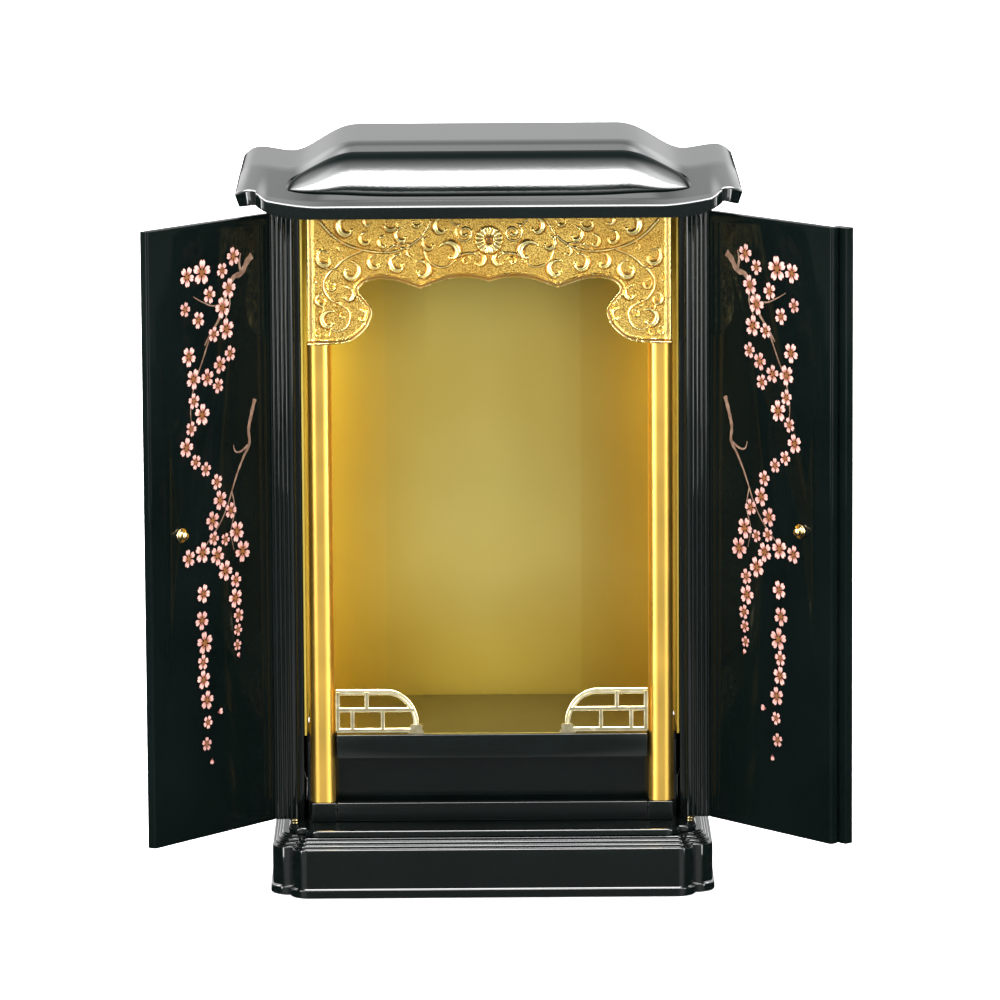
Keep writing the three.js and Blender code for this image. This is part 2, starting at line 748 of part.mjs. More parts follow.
// flutes along one face of the pillar
function flutes(from, to, face) {
  const pitch = (to - from) / fluteCount;
  const points = [];
  for (let i = 0; i < fluteCount; i += 1) {
    const start = from + i * pitch + Math.sign(pitch) * fluteLand / 2;
    const width = pitch - Math.sign(pitch) * fluteLand;
    for (let k = 0; k <= fluteFacets; k += 1) {
      const t = k / fluteFacets;
      points.push(onPillar(start + width * t, face * (halfLeaf - fluteDepth * Math.sin(Math.PI * t))));
    }
  }
  return points;
}

function leafPillar(place) {
  const shift = fitGap / 2;
  const nose = arc(0, 0, halfLeaf, 45, 225, 8);
  const outline = [[leafCorner[0] - shift, leafCorner[1]]]
    .concat(flutes(doorPillarLength - 0.7, 0.6, 1), nose, flutes(0.6, outerLength - 0.9, -1))
    .concat([[onPillar(outerLength, -halfLeaf)[0] - shift, leafOuterQ]]);
  const holeRadius = pivotRadius + fitGap;
  const hole = (from, to) => {
    const bore = new THREE.CylinderGeometry(holeRadius, holeRadius, to - from, turnedSides);
    return bore.rotateX(Math.PI / 2).translate(0, 0, (from + to) / 2);
  };
  const depth = pivotDepth + fitGap;
  return cut(
    prism(outline.map(place), leafBase, leafTop),
    hole(leafBase - 1, leafBase + depth),
    hole(leafTop - depth, leafTop + 1),
  );
}

function leafPanel(place) {
  const shift = fitGap / 2;
  const edge = 1.2;
  const outline = [[leafCorner[0] + shift, leafInnerQ]]
    .concat([[onPillar(outerLength, -halfLeaf)[0] + shift, leafOuterQ]])
    .concat(arc(leafWidth - edge, leafOuterQ + edge, edge, 270, 360, 3))
    .concat(arc(leafWidth - edge, leafInnerQ - edge, edge, 0, 90, 3));
  const grooves = [beadStart, beadStart + beadWidth].map((offset) => {
    const p = leafCorner[0] + offset;
    const mouth = leafInnerQ + 0.1;
    const side = grooveWidth / 2;
    const section = [[p - side, mouth], [p, leafInnerQ - grooveDepth], [p + side, mouth]];
    return prism(section.map(place), leafBase + grooveMargin, leafTop - grooveMargin);
  });
  const boreRadius = knobShaftRadius + fitGap;
  const bore = new THREE.CylinderGeometry(boreRadius, boreRadius, leafThickness + 2, turnedSides);
  const [x, y] = place([leafWidth - knobFromEdge, (leafInnerQ + leafOuterQ) / 2]);
  bore.translate(x, y, leafBase + knobHeight);
  return cut(prism(outline.map(place), leafBase, leafTop), ...grooves, bore);
}

// turned knob: ball and flange outside, shaft through the leaf, flange and small nub inside
function knob(place) {
  const outside = leafOuterQ - fitGap;
  const inside = leafInnerQ + fitGap;
  const profile = [
    [0, outside - 8.6], [2.4, outside - 8.2], [3.7, outside - 6.6], [3.7, outside - 5.4],
    [2.6, outside - 3.8], [1.7, outside - 2.8], [1.9, outside - 1.3], [4.2, outside - 1],
    [4.2, outside], [knobShaftRadius, outside], [knobShaftRadius, inside], [3.7, inside],
    [3.7, inside + 0.8], [2, inside + 1.1], [1.9, inside + 3.1], [1.2, inside + 3.9], [0, inside + 4.1],
  ].map(([r, y]) => new THREE.Vector2(r, y));
  const [x] = place([leafWidth - knobFromEdge, 0]);
  return turned(profile).translate(x, 0, leafBase + knobHeight);
}

function turned(profile) {
  return outward(toGeometry(toSolid(new THREE.LatheGeometry(profile, turnedSides))));
}

for (const side of [-1, 1]) {
  const hand = side < 0 ? 'left' : 'right';
  const door = new THREE.Group();
  door.position.set(side * pivotX, pivotY, 0);
  door.rotation.z = side * THREE.MathUtils.degToRad(openAngle);
  group.add(door);
  const place = ([p, q]) => [-side * p, q];
  addTo(door, `${hand}_door_panel`, leafPanel(place), black);
  addTo(door, `${hand}_door_pillar`, leafPillar(place), black);
  addTo(door, `${hand}_door_knob`, knob(place), gold);
  if (side > 0) {
    const start = leafWidth + astragalOverlap - astragalWidth;
    const back = leafOuterQ - fitGap;
    const round = 1.4;
    const outline = [[start, back]]
      .concat(arc(start + round, back - astragalThickness + round, round, 180, 270, 3))
      .concat(arc(start + astragalWidth - round, back - astragalThickness + round, round, 270, 360, 3))
      .concat([[start + astragalWidth, back]]);
    addTo(door, 'right_door_astragal', prism(outline.map(place), leafBase, leafTop), black);
  }
  for (const [level, flip] of [['lower', 1], ['upper', -1]]) {
    const collar = leafLift - 2 * fitGap;
    const tip = leafLift - fitGap + pivotDepth;
    const profile = [
      [0, 0], [collarRadius, 0], [collarRadius, collar], [pivotRadius, collar],
      [pivotRadius, tip - 0.4], [pivotRadius - 0.4, tip], [0, tip],
    ].map(([r, z]) => new THREE.Vector2(r, z));
    const pin = turned(profile).rotateX((flip * Math.PI) / 2);
    const z = flip > 0 ? platformTop + fitGap : roofBase - fitGap;
    add(`${hand}_${level}_pivot`, pin.translate(side * pivotX, pivotY, z), gold);
  }
}

export default group;
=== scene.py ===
# Household altar cabinet: black gloss lacquer, gold inside, cherry blossoms painted on the open doors.
# Metres, +Z up, the front faces -Y, the origin is the middle of the plinth's underside.
import math

import bmesh
import bpy
import numpy as np
from mathutils import Matrix, Vector
from mathutils.geometry import delaunay_2d_cdt


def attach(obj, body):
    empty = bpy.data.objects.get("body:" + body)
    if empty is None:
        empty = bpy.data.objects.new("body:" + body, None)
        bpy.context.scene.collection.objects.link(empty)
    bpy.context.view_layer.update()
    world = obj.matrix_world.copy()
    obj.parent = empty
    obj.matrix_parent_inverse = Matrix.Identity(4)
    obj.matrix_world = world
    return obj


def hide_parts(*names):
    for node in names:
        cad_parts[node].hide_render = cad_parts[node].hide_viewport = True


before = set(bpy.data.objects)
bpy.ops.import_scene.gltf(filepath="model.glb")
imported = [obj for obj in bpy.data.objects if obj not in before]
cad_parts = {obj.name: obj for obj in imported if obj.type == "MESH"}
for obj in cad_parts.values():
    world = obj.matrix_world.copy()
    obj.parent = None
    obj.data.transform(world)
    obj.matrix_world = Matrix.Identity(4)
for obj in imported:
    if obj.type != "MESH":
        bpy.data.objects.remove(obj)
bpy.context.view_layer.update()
mm = 0.001
hands = ((-1, "left"), (1, "right"))


def shadeSmooth(obj, angle):
    bpy.context.view_layer.objects.active = obj
    obj.select_set(True)
    bpy.ops.object.shade_smooth_by_angle(angle=math.radians(angle))
    obj.select_set(False)


def addObject(name, data):
    obj = bpy.data.objects.new(name, data)
    bpy.context.scene.collection.objects.link(obj)
    return obj


def meshObject(name, vertices, faces):
    mesh = bpy.data.meshes.new(name)
    mesh.from_pydata([tuple(v) for v in vertices], [], [tuple(f) for f in faces])
    mesh.validate()
    return addObject(name, mesh)


def applyModifiers(obj):
    graph = bpy.context.evaluated_depsgraph_get()
    graph.update()
    finished = bpy.data.meshes.new_from_object(obj.evaluated_get(graph))
    obj.modifiers.clear()
    obj.data = finished


def feed(tree, node, inputs):
    # each input is a value or the socket that feeds it
    for key, value in inputs.items():
        if isinstance(value, bpy.types.NodeSocket):
            tree.links.new(value, node.inputs[key])
        else:
            node.inputs[key].default_value = value


def wire(tree, kind, inputs=None, **settings):
    # a new node with its settings and inputs; gives its outputs
    node = tree.nodes.new(kind)
    for name, value in settings.items():
        setattr(node, name, value)
    feed(tree, node, inputs or {})
    return node.outputs


def calculate(tree, operation, *values):
    return wire(tree, "ShaderNodeMath", dict(enumerate(values)), operation=operation)[0]


def mapRange(tree, value, low, high, fromLow=0.0, fromHigh=1.0, **settings):
    inputs = {"Value": value, "From Min": fromLow, "From Max": fromHigh, "To Min": low, "To Max": high}
    return wire(tree, "ShaderNodeMapRange", inputs, **settings)["Result"]


def mixColour(tree, factor, first, second, way="MIX"):
    inputs = {"Factor": factor, "A": first, "B": second}
    return wire(tree, "ShaderNodeMix", inputs, data_type="RGBA", blend_type=way)["Result"]


def attribute(tree, name):
    return wire(tree, "ShaderNodeAttribute", attribute_name=name)["Fac"]


def objectPlace(tree):
    return wire(tree, "ShaderNodeTexCoord")["Object"]


def noise(tree, place, scale, detail=2.0):
    return wire(tree, "ShaderNodeTexNoise", {"Vector": place, "Scale": scale, "Detail": detail})["Fac"]


def bump(tree, height, distance):
    return wire(tree, "ShaderNodeBump", {"Height": height, "Distance": distance})["Normal"]


def colourRamp(tree, value, stops):
    ramp = tree.nodes.new("ShaderNodeValToRGB")
    elements = ramp.color_ramp.elements
    while len(elements) < len(stops):
        elements.new(0.5)
    for element, (at, colour) in zip(elements, stops):
        element.position = at
        element.color = (*colour, 1.0)
    tree.links.new(value, ramp.inputs["Fac"])
    return ramp.outputs["Color"]


def nodeGroup(name, treeKind, inputs, output):
    # inputs are name, kind and value; gives the tree, what comes in and the node that what is made goes to
    tree = bpy.data.node_groups.new(name, treeKind)
    for label, kind, value in inputs:
        socket = tree.interface.new_socket(name=label, in_out="INPUT", socket_type="NodeSocket" + kind)
        if value is not None:
            socket.default_value = value
    tree.interface.new_socket(name=output[0], in_out="OUTPUT", socket_type="NodeSocket" + output[1])
    return tree, tree.nodes.new("NodeGroupInput").outputs, tree.nodes.new("NodeGroupOutput")


def makeRipple():
    # slight unevenness of a polished coat: broad waves with a fine peel over them
    inputs = (("Wave size", "Float", 0.02), ("Peel size", "Float", 0.0015), ("Peel share", "Float", 0.1))
    tree, given, out = nodeGroup("polishedRipple", "ShaderNodeTree", inputs, ("Height", "Float"))
    sizes = (calculate(tree, "DIVIDE", 1.0, given[name]) for name in ("Wave size", "Peel size"))
    wave, peel = (noise(tree, objectPlace(tree), size) for size in sizes)
    feed(tree, out, {"Height": calculate(tree, "MULTIPLY_ADD", peel, given["Peel share"], wave)})
    return tree


def makeCloud():
    # slow patches over a surface, from 0 to 1
    inputs = (("Patch size", "Float", 0.03),)
    tree, given, out = nodeGroup("slowPatches", "ShaderNodeTree", inputs, ("Value", "Float"))
    value = noise(tree, objectPlace(tree), calculate(tree, "DIVIDE", 1.0, given["Patch size"]), 3.0)
    feed(tree, out, {"Value": mapRange(tree, value, 0.0, 1.0, 0.3, 0.7)})
    return tree


rippleGroup = makeRipple()
cloudGroup = makeCloud()


def patches(tree, size):
    return wire(tree, "ShaderNodeGroup", {"Patch size": size}, node_tree=cloudGroup)[0]


def ripple(tree, waveSize, peelSize, peelShare):
    inputs = {"Wave size": waveSize, "Peel size": peelSize, "Peel share": peelShare}
    return wire(tree, "ShaderNodeGroup", inputs, node_tree=rippleGroup)[0]


def newMaterial(name):
    material = bpy.data.materials.new(name)
    material.use_nodes = True
    return material, material.node_tree


def shade(tree, inputs):
    feed(tree, tree.nodes["Principled BSDF"], inputs)


# finishes: sizes and depths in metres
lacquer = {
    "deep": (0.0015, 0.003, 0.0027), "colour": (0.0022, 0.0042, 0.0038), "roughness": (0.035, 0.075), "ior": 1.38,
    "patchSize": 0.05, "waveSize": 0.03, "peelSize": 0.0012, "waveHeight": 8e-6,
}


def makeLacquer(name, roughness=None, waveHeight=None, peelShare=0.012, shine=0.5, paintedEdgeShade=None):
    material, tree = newMaterial(name)
    cloud = patches(tree, lacquer["patchSize"])
    coat = ripple(tree, lacquer["waveSize"], lacquer["peelSize"], peelShare)
    shade(tree, {
        "IOR": lacquer["ior"],
        # painted shade: where a mask is given, the coat's shine follows it instead of staying even
        "Specular IOR Level": mapRange(tree, attribute(tree, "paintedEdgeShade"), *paintedEdgeShade) if paintedEdgeShade else shine,
        "Roughness": mapRange(tree, cloud, *(roughness or lacquer["roughness"])),
        "Base Color": colourRamp(tree, cloud, [(0.0, lacquer["deep"]), (1.0, lacquer["colour"])]),
        "Normal": bump(tree, coat, waveHeight or lacquer["waveHeight"]),
    })
    return material


gilt = {
    # cut is the brown that the painted shade in the carving's hollows darkens towards
    "carved": ((0.30, 0.11, 0.012), (1.0, 0.68, 0.145), (1.0, 0.9, 0.42)), "cut": (0.30, 0.10, 0.012),
    "pillar": ((0.75, 0.28, 0.02), (1.0, 0.53, 0.075), (1.0, 0.64, 0.13)), "stops": (0.0, 0.55, 1.0),
    "patchSize": 0.02, "grainSize": 0.00052, "grainDepth": 1.1e-4, "paintedHollowShadeShare": 0.85,
}


def makeGilt(name, colours, roughness, patchShare, grainShare=None):
    # gilding over wood; grainShare says how much of the punched grain shows, and where it is left out
    # the carving's own marks for ground and for painted shade in its hollows say so
    material, tree = newMaterial(name)
    cloud = patches(tree, gilt["patchSize"])
    grain = wire(tree, "ShaderNodeTexVoronoi", {"Vector": objectPlace(tree), "Scale": 1.0 / gilt["grainSize"]})
    mask = calculate(tree, "MULTIPLY", grain["Distance"], grainShare or attribute(tree, "ground"))
    tone = calculate(tree, "MULTIPLY_ADD", mask, -1.0, calculate(tree, "MULTIPLY_ADD", cloud, -patchShare, 1.0))
    colour = colourRamp(tree, tone, list(zip(gilt["stops"], colours)))
    if not grainShare:
        # painted shade: the low lines beside the raised work, between the beads and between the petals are darkened to
        # brown
        paintedHollowShade = mapRange(tree, attribute(tree, "paintedHollowShade"), 0.0, gilt["paintedHollowShadeShare"])
        colour = mixColour(tree, paintedHollowShade, colour, (*gilt["cut"], 1))
    shade(tree, {
        "Metallic": 1.0,
        "Roughness": mapRange(tree, cloud, *roughness),
        "Base Color": colour,
        "Normal": bump(tree, calculate(tree, "SUBTRACT", 1.0, mask), gilt["grainDepth"]),
    })
    return material


foil = {
    "walls": ((0.92, 0.71, 0.17), (0.96, 0.79, 0.22), (1.0, 0.86, 0.30)),
    "floor": ((0.12, 0.088, 0.02), (0.155, 0.12, 0.03), (0.195, 0.16, 0.046)),
    # sheet tones and painted light over the walls: axis, reach, steps
    "sheetsAndPaintedLight": (
        # across: sheets of their own tone, stepping at their seams, under painted light that is brightest on the left
        # and falls off to the right
        ("X", (-0.0937, 0.0937), (
            (0.0, (0.86, 0.82, 0.64)), (0.212, (0.86, 0.84, 0.70)), (0.218, (0.83, 0.82, 0.72)),
            (0.5, (0.8, 0.82, 0.88)), (0.746, (0.72, 0.72, 0.72)), (0.752, (0.68, 0.66, 0.6)), (1.0, (0.6, 0.52, 0.36)),
        )),
        # up: painted light, brighter near the foot and darker at mid height
        ("Z", (0.078, 0.3), (
            (0.0, (1.0, 1.0, 0.94)), (0.2, (1.0, 1.0, 1.0)), (0.5, (0.9, 0.9, 0.9)), (1.0, (0.97, 0.96, 0.9)),
        )),
    ),
    "roughness": (0.4, 0.46), "patchSize": 0.16, "fibre": 0.0009, "fibreDepth": 1.5e-5,
    "fibreStretch": (1.0, 1.0, 0.12),
}


def makeFoil(name, colours, sheetsAndPaintedLight=()):
    # gold foil on board: soft sheen, broad tone changes, sheets of their own tone under painted light over the walls,
    # and a fine upright fibre
    material, tree = newMaterial(name)
    cloud = patches(tree, foil["patchSize"])
    colour = colourRamp(tree, cloud, list(zip((0.0, 0.5, 1.0), colours)))
    place = objectPlace(tree)
    split = wire(tree, "ShaderNodeSeparateXYZ", {0: place})
    # the walls' sheet tones and painted light multiply the foil's colour
    for axis, reach, steps in sheetsAndPaintedLight:
        layer = colourRamp(tree, mapRange(tree, split[axis], 0.0, 1.0, *reach), steps)
        colour = mixColour(tree, 1.0, colour, layer, "MULTIPLY")
    stretched = wire(tree, "ShaderNodeMapping", {"Vector": place, "Scale": foil["fibreStretch"]})[0]
    shade(tree, {
        "Metallic": 1.0,
        "Roughness": mapRange(tree, cloud, *foil["roughness"]),
        "Base Color": colour,
        "Normal": bump(tree, noise(tree, stretched, 1.0 / foil["fibre"]), foil["fibreDepth"]),
    })
    return material


plating = {"patchSize": 0.006, "waveSize": 0.004, "peelSize": 0.0006, "peelShare": 0.1, "waveHeight": 1e-5}


def makePlating(name, colours, roughness):
    material, tree = newMaterial(name)
    cloud = patches(tree, plating["patchSize"])
    coat = ripple(tree, plating["waveSize"], plating["peelSize"], plating["peelShare"])
    shade(tree, {
        "Metallic": 1.0,
        "Roughness": mapRange(tree, cloud, *roughness),
        "Base Color": colourRamp(tree, cloud, list(zip((0.0, 1.0), colours))),
        "Normal": bump(tree, coat, plating["waveHeight"]),
    })
    return material


paint = {
    "heart": (0.10, 0.025, 0.018), "petal": (0.50, 0.20, 0.18), "pale": (0.60, 0.335, 0.30),
    "vein": (0.42, 0.17, 0.155), "stamen": (0.16, 0.058, 0.015), "bark": ((0.085, 0.04, 0.027), (0.21, 0.135, 0.095)),
    "alongPetal": ((0.3, "heart"), (0.46, "petal"), (0.7, "pale"), (0.92, "pale"), (1.0, "petal")),
    "veins": 11.0, "veinEdge": 0.55, "veinShare": 0.55, "tint": (0.78, 1.12), "barkPatch": 0.0035,
    "petalRoughness": 0.32, "barkRoughness": 0.36, "ior": 1.45,
}


def makeBlossomPaint():
    # pink petals with darker veins and a deep middle, gold-brown stamens
    material, tree = newMaterial("blossomPaint")
    base = colourRamp(tree, attribute(tree, "along"), [(at, paint[tone]) for at, tone in paint["alongPetal"]])
    wave = calculate(tree, "COSINE", calculate(tree, "MULTIPLY", attribute(tree, "across"), paint["veins"]))
    veins = mapRange(tree, wave, 0.0, paint["veinShare"], paint["veinEdge"])
    veined = mixColour(tree, veins, base, (*paint["vein"], 1))
    value = mapRange(tree, attribute(tree, "tint"), *paint["tint"])
    tinted = wire(tree, "ShaderNodeHueSaturation", {"Value": value, "Color": veined})["Color"]
    whole = mixColour(tree, attribute(tree, "kind"), tinted, (*paint["stamen"], 1))
    shade(tree, {"Base Color": whole, "Roughness": paint["petalRoughness"], "IOR": paint["ior"]})
    return material


def makeBranchPaint():
    material, tree = newMaterial("branchPaint")
    tone = colourRamp(tree, patches(tree, paint["barkPatch"]), list(zip((0.0, 1.0), paint["bark"])))
    shade(tree, {"Base Color": tone, "Roughness": paint["barkRoughness"], "IOR": paint["ior"]})
    return material


blackLacquer = makeLacquer("blackLacquer")
# the bulging panel's coat breaks up where its gleam ends; painted shade turns its shine down along its upper edge and
# at its foot
panelLacquer = makeLacquer(
    "panelLacquer", roughness=(0.05, 0.13), waveHeight=1.0e-4, peelShare=0.4, paintedEdgeShade=(0.5, 0.0015)
)
doorLacquer = makeLacquer("doorLacquer", shine=0.07)
flutedLacquer = makeLacquer("flutedLacquer", roughness=(0.04, 0.06), waveHeight=1.5e-6)
blossomPaint = makeBlossomPaint()
branchPaint = makeBranchPaint()
pillarGilt = makeGilt("pillarGilt", gilt["pillar"], roughness=(0.28, 0.34), patchShare=0.06, grainShare=0.05)
carvedGilt = makeGilt("carvedGilt", gilt["carved"], roughness=(0.2, 0.34), patchShare=0.25)
goldFoil = makeFoil("goldFoil", foil["walls"], foil["sheetsAndPaintedLight"])
floorFoil = makeFoil("floorFoil", foil["floor"])
paleGold = makePlating("paleGold", ((0.72, 0.62, 0.34), (0.88, 0.8, 0.52)), (0.16, 0.28))
brightBrass = makePlating("brightBrass", ((0.78, 0.55, 0.2), (0.95, 0.78, 0.42)), (0.12, 0.22))


# shapes shared by the pieces; sizes in the pieces' dictionaries are millimetres
def smoothStep(t):
    u = min(max(t, 0.0), 1.0)
    return u * u * (3 - 2 * u)


def blend(a, b, t):
    return a + (b - a) * t


def arcPoints(cx, cy, radius, start, stop, steps=10):
    angles = [math.radians(blend(start, stop, i / steps)) for i in range(steps + 1)]
    return [(cx + radius * math.cos(a), cy + radius * math.sin(a)) for a in angles]


def smoothPath(points, steps):
    # curve through all points, the same one that the part's carving follows
    made = []
    last = len(points) - 1
    for k in range(steps + 1):
        at = k / steps * last
        i = min(int(at), last - 1)
        t = at - i
        p0, p1, p2, p3 = (np.array(points[min(max(j, 0), last)], float) for j in (i - 1, i, i + 1, i + 2))
        v0, v1 = (p2 - p0) / 2, (p3 - p1) / 2
        made.append((2 * p1 - 2 * p2 + v0 + v1) * t**3 + (3 * p2 - 3 * p1 - 2 * v0 - v1) * t**2 + v0 * t + p1)
    return np.array(made)


weld = 1e-6  # corners closer than this, in metres, are one


def outwardFaces(obj):
    mesh = bmesh.new()
    mesh.from_mesh(obj.data)
    bmesh.ops.remove_doubles(mesh, verts=mesh.verts, dist=weld)
    bmesh.ops.recalc_face_normals(mesh, faces=mesh.faces)
    mesh.to_mesh(obj.data)
    mesh.free()


def loftRings(name, rings, smoothAngle=35, closedEnds=True):
    # skin over rings of equally many points, in millimetres
    count = len(rings[0])
    vertices = [np.array(p, float) * mm for ring in rings for p in ring]
    faces = []
    for r in range(len(rings) - 1):
        for i in range(count):
            a, b = r * count + i, r * count + (i + 1) % count
            faces.append((a, b, b + count, a + count))
    if closedEnds:
        faces.append(tuple(range(count)))
        faces.append(tuple(range((len(rings) - 1) * count, len(rings) * count)))
    obj = meshObject(name, vertices, faces)
    outwardFaces(obj)
    shadeSmooth(obj, smoothAngle)
    return obj


def addAttribute(mesh, name, values):
    layer = mesh.attributes.new(name, "FLOAT", "POINT")
    layer.data.foreach_set("value", np.asarray(values, dtype=np.float32))


def joinPieces(name, parts):
    bpy.ops.object.select_all(action="DESELECT")
    for part in parts:
        part.select_set(True)
    bpy.context.view_layer.objects.active = parts[0]
    bpy.ops.object.join()
    parts[0].name = name
    parts[0].select_set(False)
    return parts[0]


def place(obj, finish, slot, body, *nodes):
    obj.data.materials.clear()
    obj.data.materials.append(finish)
    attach(obj, body)
    if nodes:
        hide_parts(*nodes)


def bodyOf(nodeName):
    for door in ("left_door", "right_door"):
        if nodeName.startswith(door):
            return door
    return "cabinet"


# boards: the plain pieces keep their solid's shape, with eased edges
boards = {
    "blackEase": 0.45, "goldEase": 0.2, "rounds": 3, "edgeAngle": 40, "smoothAngle": 35,
    "black": (
        "left_side_wall", "right_side_wall", "back_wall", "ceiling_board", "raised_floor", "recess_panel", "front_sill",
        "left_pillar_base", "right_pillar_base", "left_door_panel", "right_door_panel", "right_door_astragal",
    ),
    "gold": ("left_gold_lining", "right_gold_lining", "gold_back_board"),
}


def makeBoard(nodeName, ease, finish, slot):
    mesh = bmesh.new()
    mesh.from_mesh(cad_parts[nodeName].data)
    bmesh.ops.remove_doubles(mesh, verts=mesh.verts, dist=weld)
    bmesh.ops.dissolve_limit(mesh, angle_limit=math.radians(1), verts=mesh.verts, edges=mesh.edges)
    data = bpy.data.meshes.new(nodeName + "_board")
    mesh.to_mesh(data)
    mesh.free()
    obj = addObject(nodeName + "_finished", data)
    soften = obj.modifiers.new("easedEdges", "BEVEL")
    soften.width = ease * mm
    soften.segments = boards["rounds"]
    soften.limit_method = "ANGLE"
    soften.angle_limit = math.radians(boards["edgeAngle"])
    applyModifiers(obj)
    shadeSmooth(obj, boards["smoothAngle"])
    place(obj, finish, slot, bodyOf(nodeName), nodeName)


for nodeName in boards["black"]:
    finish = doorLacquer if bodyOf(nodeName) != "cabinet" else blackLacquer
    makeBoard(nodeName, boards["blackEase"], finish, "black_lacquer")
for nodeName in boards["gold"]:
    makeBoard(nodeName, boards["goldEase"], goldFoil, "gold_foil")
makeBoard("gold_floor_board", boards["goldEase"], floorFoil, "gold_foil")
print("boards made")


# plinth and platform: notched blocks with rounded mouldings
plinth = {
    "half": 111.5, "front": 78.0, "back": 78.0, "lobeHalf": 101.5, "notch": 10.0, "radius": 9.5,
    "height": 29.6, "footHeight": 4.2, "footStep": 1.0, "footRound": 0.7, "stepInset": 1.5, "stepHeight": 1.7,
    "steps": 3, "round": 1.05, "ease": 0.3, "nookIn": 0.1, "nookRise": (0.05, 0.15),
}
platform = {
    "half": 102.4, "front": 72.5, "back": 72.5, "lobeHalf": 93.9, "notch": 8.5, "radius": 8.0,
    "base": 29.9, "top": 33.2, "round": 1.2, "ease": 0.3,
}


def notchedOutline(plan, inset=0.0, squareBack=False):
    sideRadius = plan["half"] - plan["lobeHalf"]
    lobeRadius = max(plan["radius"] - inset, 0.4)
    lobe = plan["lobeHalf"] - inset

    def corner(sign, edge):
        path = arcPoints(lobe - lobeRadius, edge - inset - lobeRadius, lobeRadius, 90, 0)
        path += arcPoints(lobe, edge - plan["notch"] - inset - sideRadius, sideRadius, 90, 0)
        return [(x, sign * y) for x, y in path]

    back = [(plan["half"] - inset, plan["back"] - inset)] if squareBack else corner(1, plan["back"])[::-1]
    right = corner(-1, plan["front"]) + back
    return right + [(-x, y) for x, y in reversed(right)]


def roundedEdge(inset, top, radius, steps=5):
    return [(inset + radius - x, top - radius + z) for x, z in arcPoints(0, 0, radius, 0, 90, steps)]


def makeMoulded(name, plan, profile, node):
    rings = [[(x, y, z) for x, y in notchedOutline(plan, inset)] for inset, z in profile]
    place(loftRings(name, rings), blackLacquer, "black_lacquer", "cabinet", node)


def makePlinth():
    ease, inset = plinth["ease"], plinth["footStep"]
    profile = [(ease, 0.0), (0.0, ease)] + roundedEdge(0.0, plinth["footHeight"], plinth["footRound"])
    profile.append((inset, plinth["footHeight"] + ease))
    low, high = plinth["nookRise"]
    for k in range(plinth["steps"] + 1):
        top = plinth["height"] - (plinth["steps"] - k) * plinth["stepHeight"]
        profile += roundedEdge(inset, top, plinth["round"])
        inset += plinth["stepInset"]
        if k < plinth["steps"]:
            profile += [(inset - plinth["nookIn"], top + low), (inset, top + high)]
    makeMoulded("plinth_moulded", plinth, profile, "plinth")


def makePlatform():
    base, ease = platform["base"], platform["ease"]
    profile = [(ease, base), (0.0, base + ease)] + roundedEdge(0.0, platform["top"], platform["round"], 6)
    makeMoulded("platform_moulded", platform, profile, "body_platform")


makePlinth()
makePlatform()
print("plinth and platform made")


# roof: swept board with upturned ears, cut away round the bulging panel
roof = {
    "half": 125.4, "front": 87.0, "back": 82.0, "lobeHalf": 115.0, "notch": 9.0, "radius": 6.0,
    "base": 342.8, "humpRise": 28.8, "eave": 6.3, "strip": 13.0, "stripRise": 1.9, "creaseAt": 3.0,
    "crestAt": 116.5, "underFrom": 86.0, "cuspAt": 115.3, "cuspRise": 7.2, "tipRise": 4.7, "tipLean": 2.1,
    "edgeRound": 1.3, "endPower": 2.2, "knee": 0.12, "footEase": 2.5, "grid": 2.0, "underGrid": 7.0,
}
frontSection = {"flat": 85, "valleyAt": 108, "top": 6.3, "valley": 9.4, "crest": 13.8, "end": 11.3}
backSection = {"flat": 65, "valleyAt": 100, "top": 28.8, "valley": 15.4, "crest": 17.4, "end": 12.4}
panel = {
    "half": 99.5, "middle": 52.0, "up": 35.0, "down": 17.0, "crown": 4.4, "seat": 1.2, "groove": 1.8,
    # the painted shade sizes say how far the painted shade reaches in from the panel's upper edge and its foot
    "grooveDepth": 1.9, "columns": 90, "rows": 40, "paintedShadeFrom": 13.0, "paintedShadeOver": 21.0, "paintedShadeFoot": 6.0,
    "paintedShadePower": 2.2, "upPower": 26, "downPower": 5.6, "swellPower": 0.6, "endPower": 9, "widest": 0.9998, "under": 0.8,
}


def sectionRise(x, shape, fall):
    a = abs(x)
    if a <= shape["flat"]:
        return shape["top"]
    if a <= shape["valleyAt"]:
        return blend(shape["top"], shape["valley"], fall((a - shape["flat"]) / (shape["valleyAt"] - shape["flat"])))
    if a <= roof["crestAt"]:
        share = smoothStep((a - shape["valleyAt"]) / (roof["crestAt"] - shape["valleyAt"]))
        return blend(shape["valley"], shape["crest"], share)
    share = (a - roof["crestAt"]) / (roof["half"] - roof["crestAt"])
    return blend(shape["crest"], shape["end"], share ** roof["endPower"])


def slopeShare(y):
    stripShare = roof["stripRise"] / (roof["humpRise"] - roof["eave"])
    stripEnd = roof["strip"] - roof["front"]
    rise = (y + roof["front"]) / roof["strip"]
    t = (y - stripEnd) / (-roof["creaseAt"] - stripEnd)
    knee, foot = roof["knee"], roof["footEase"]
    share = t - (t - 1 + knee) ** 2 / (4 * knee) if abs(t - 1) < knee else min(t, 1.0)
    ramp = blend(stripShare, 1.0, share)
    ease = smoothStep((y - stripEnd + foot) / (2 * foot))
    return blend(stripShare * max(rise, 0.0), max(ramp, 0.0), ease)


def roofTop(x, y):
    low = sectionRise(x, frontSection, lambda t: t**1.5)
    high = sectionRise(x, backSection, lambda t: smoothStep(t**1.2))
    return roof["base"] + blend(low, high, slopeShare(y))


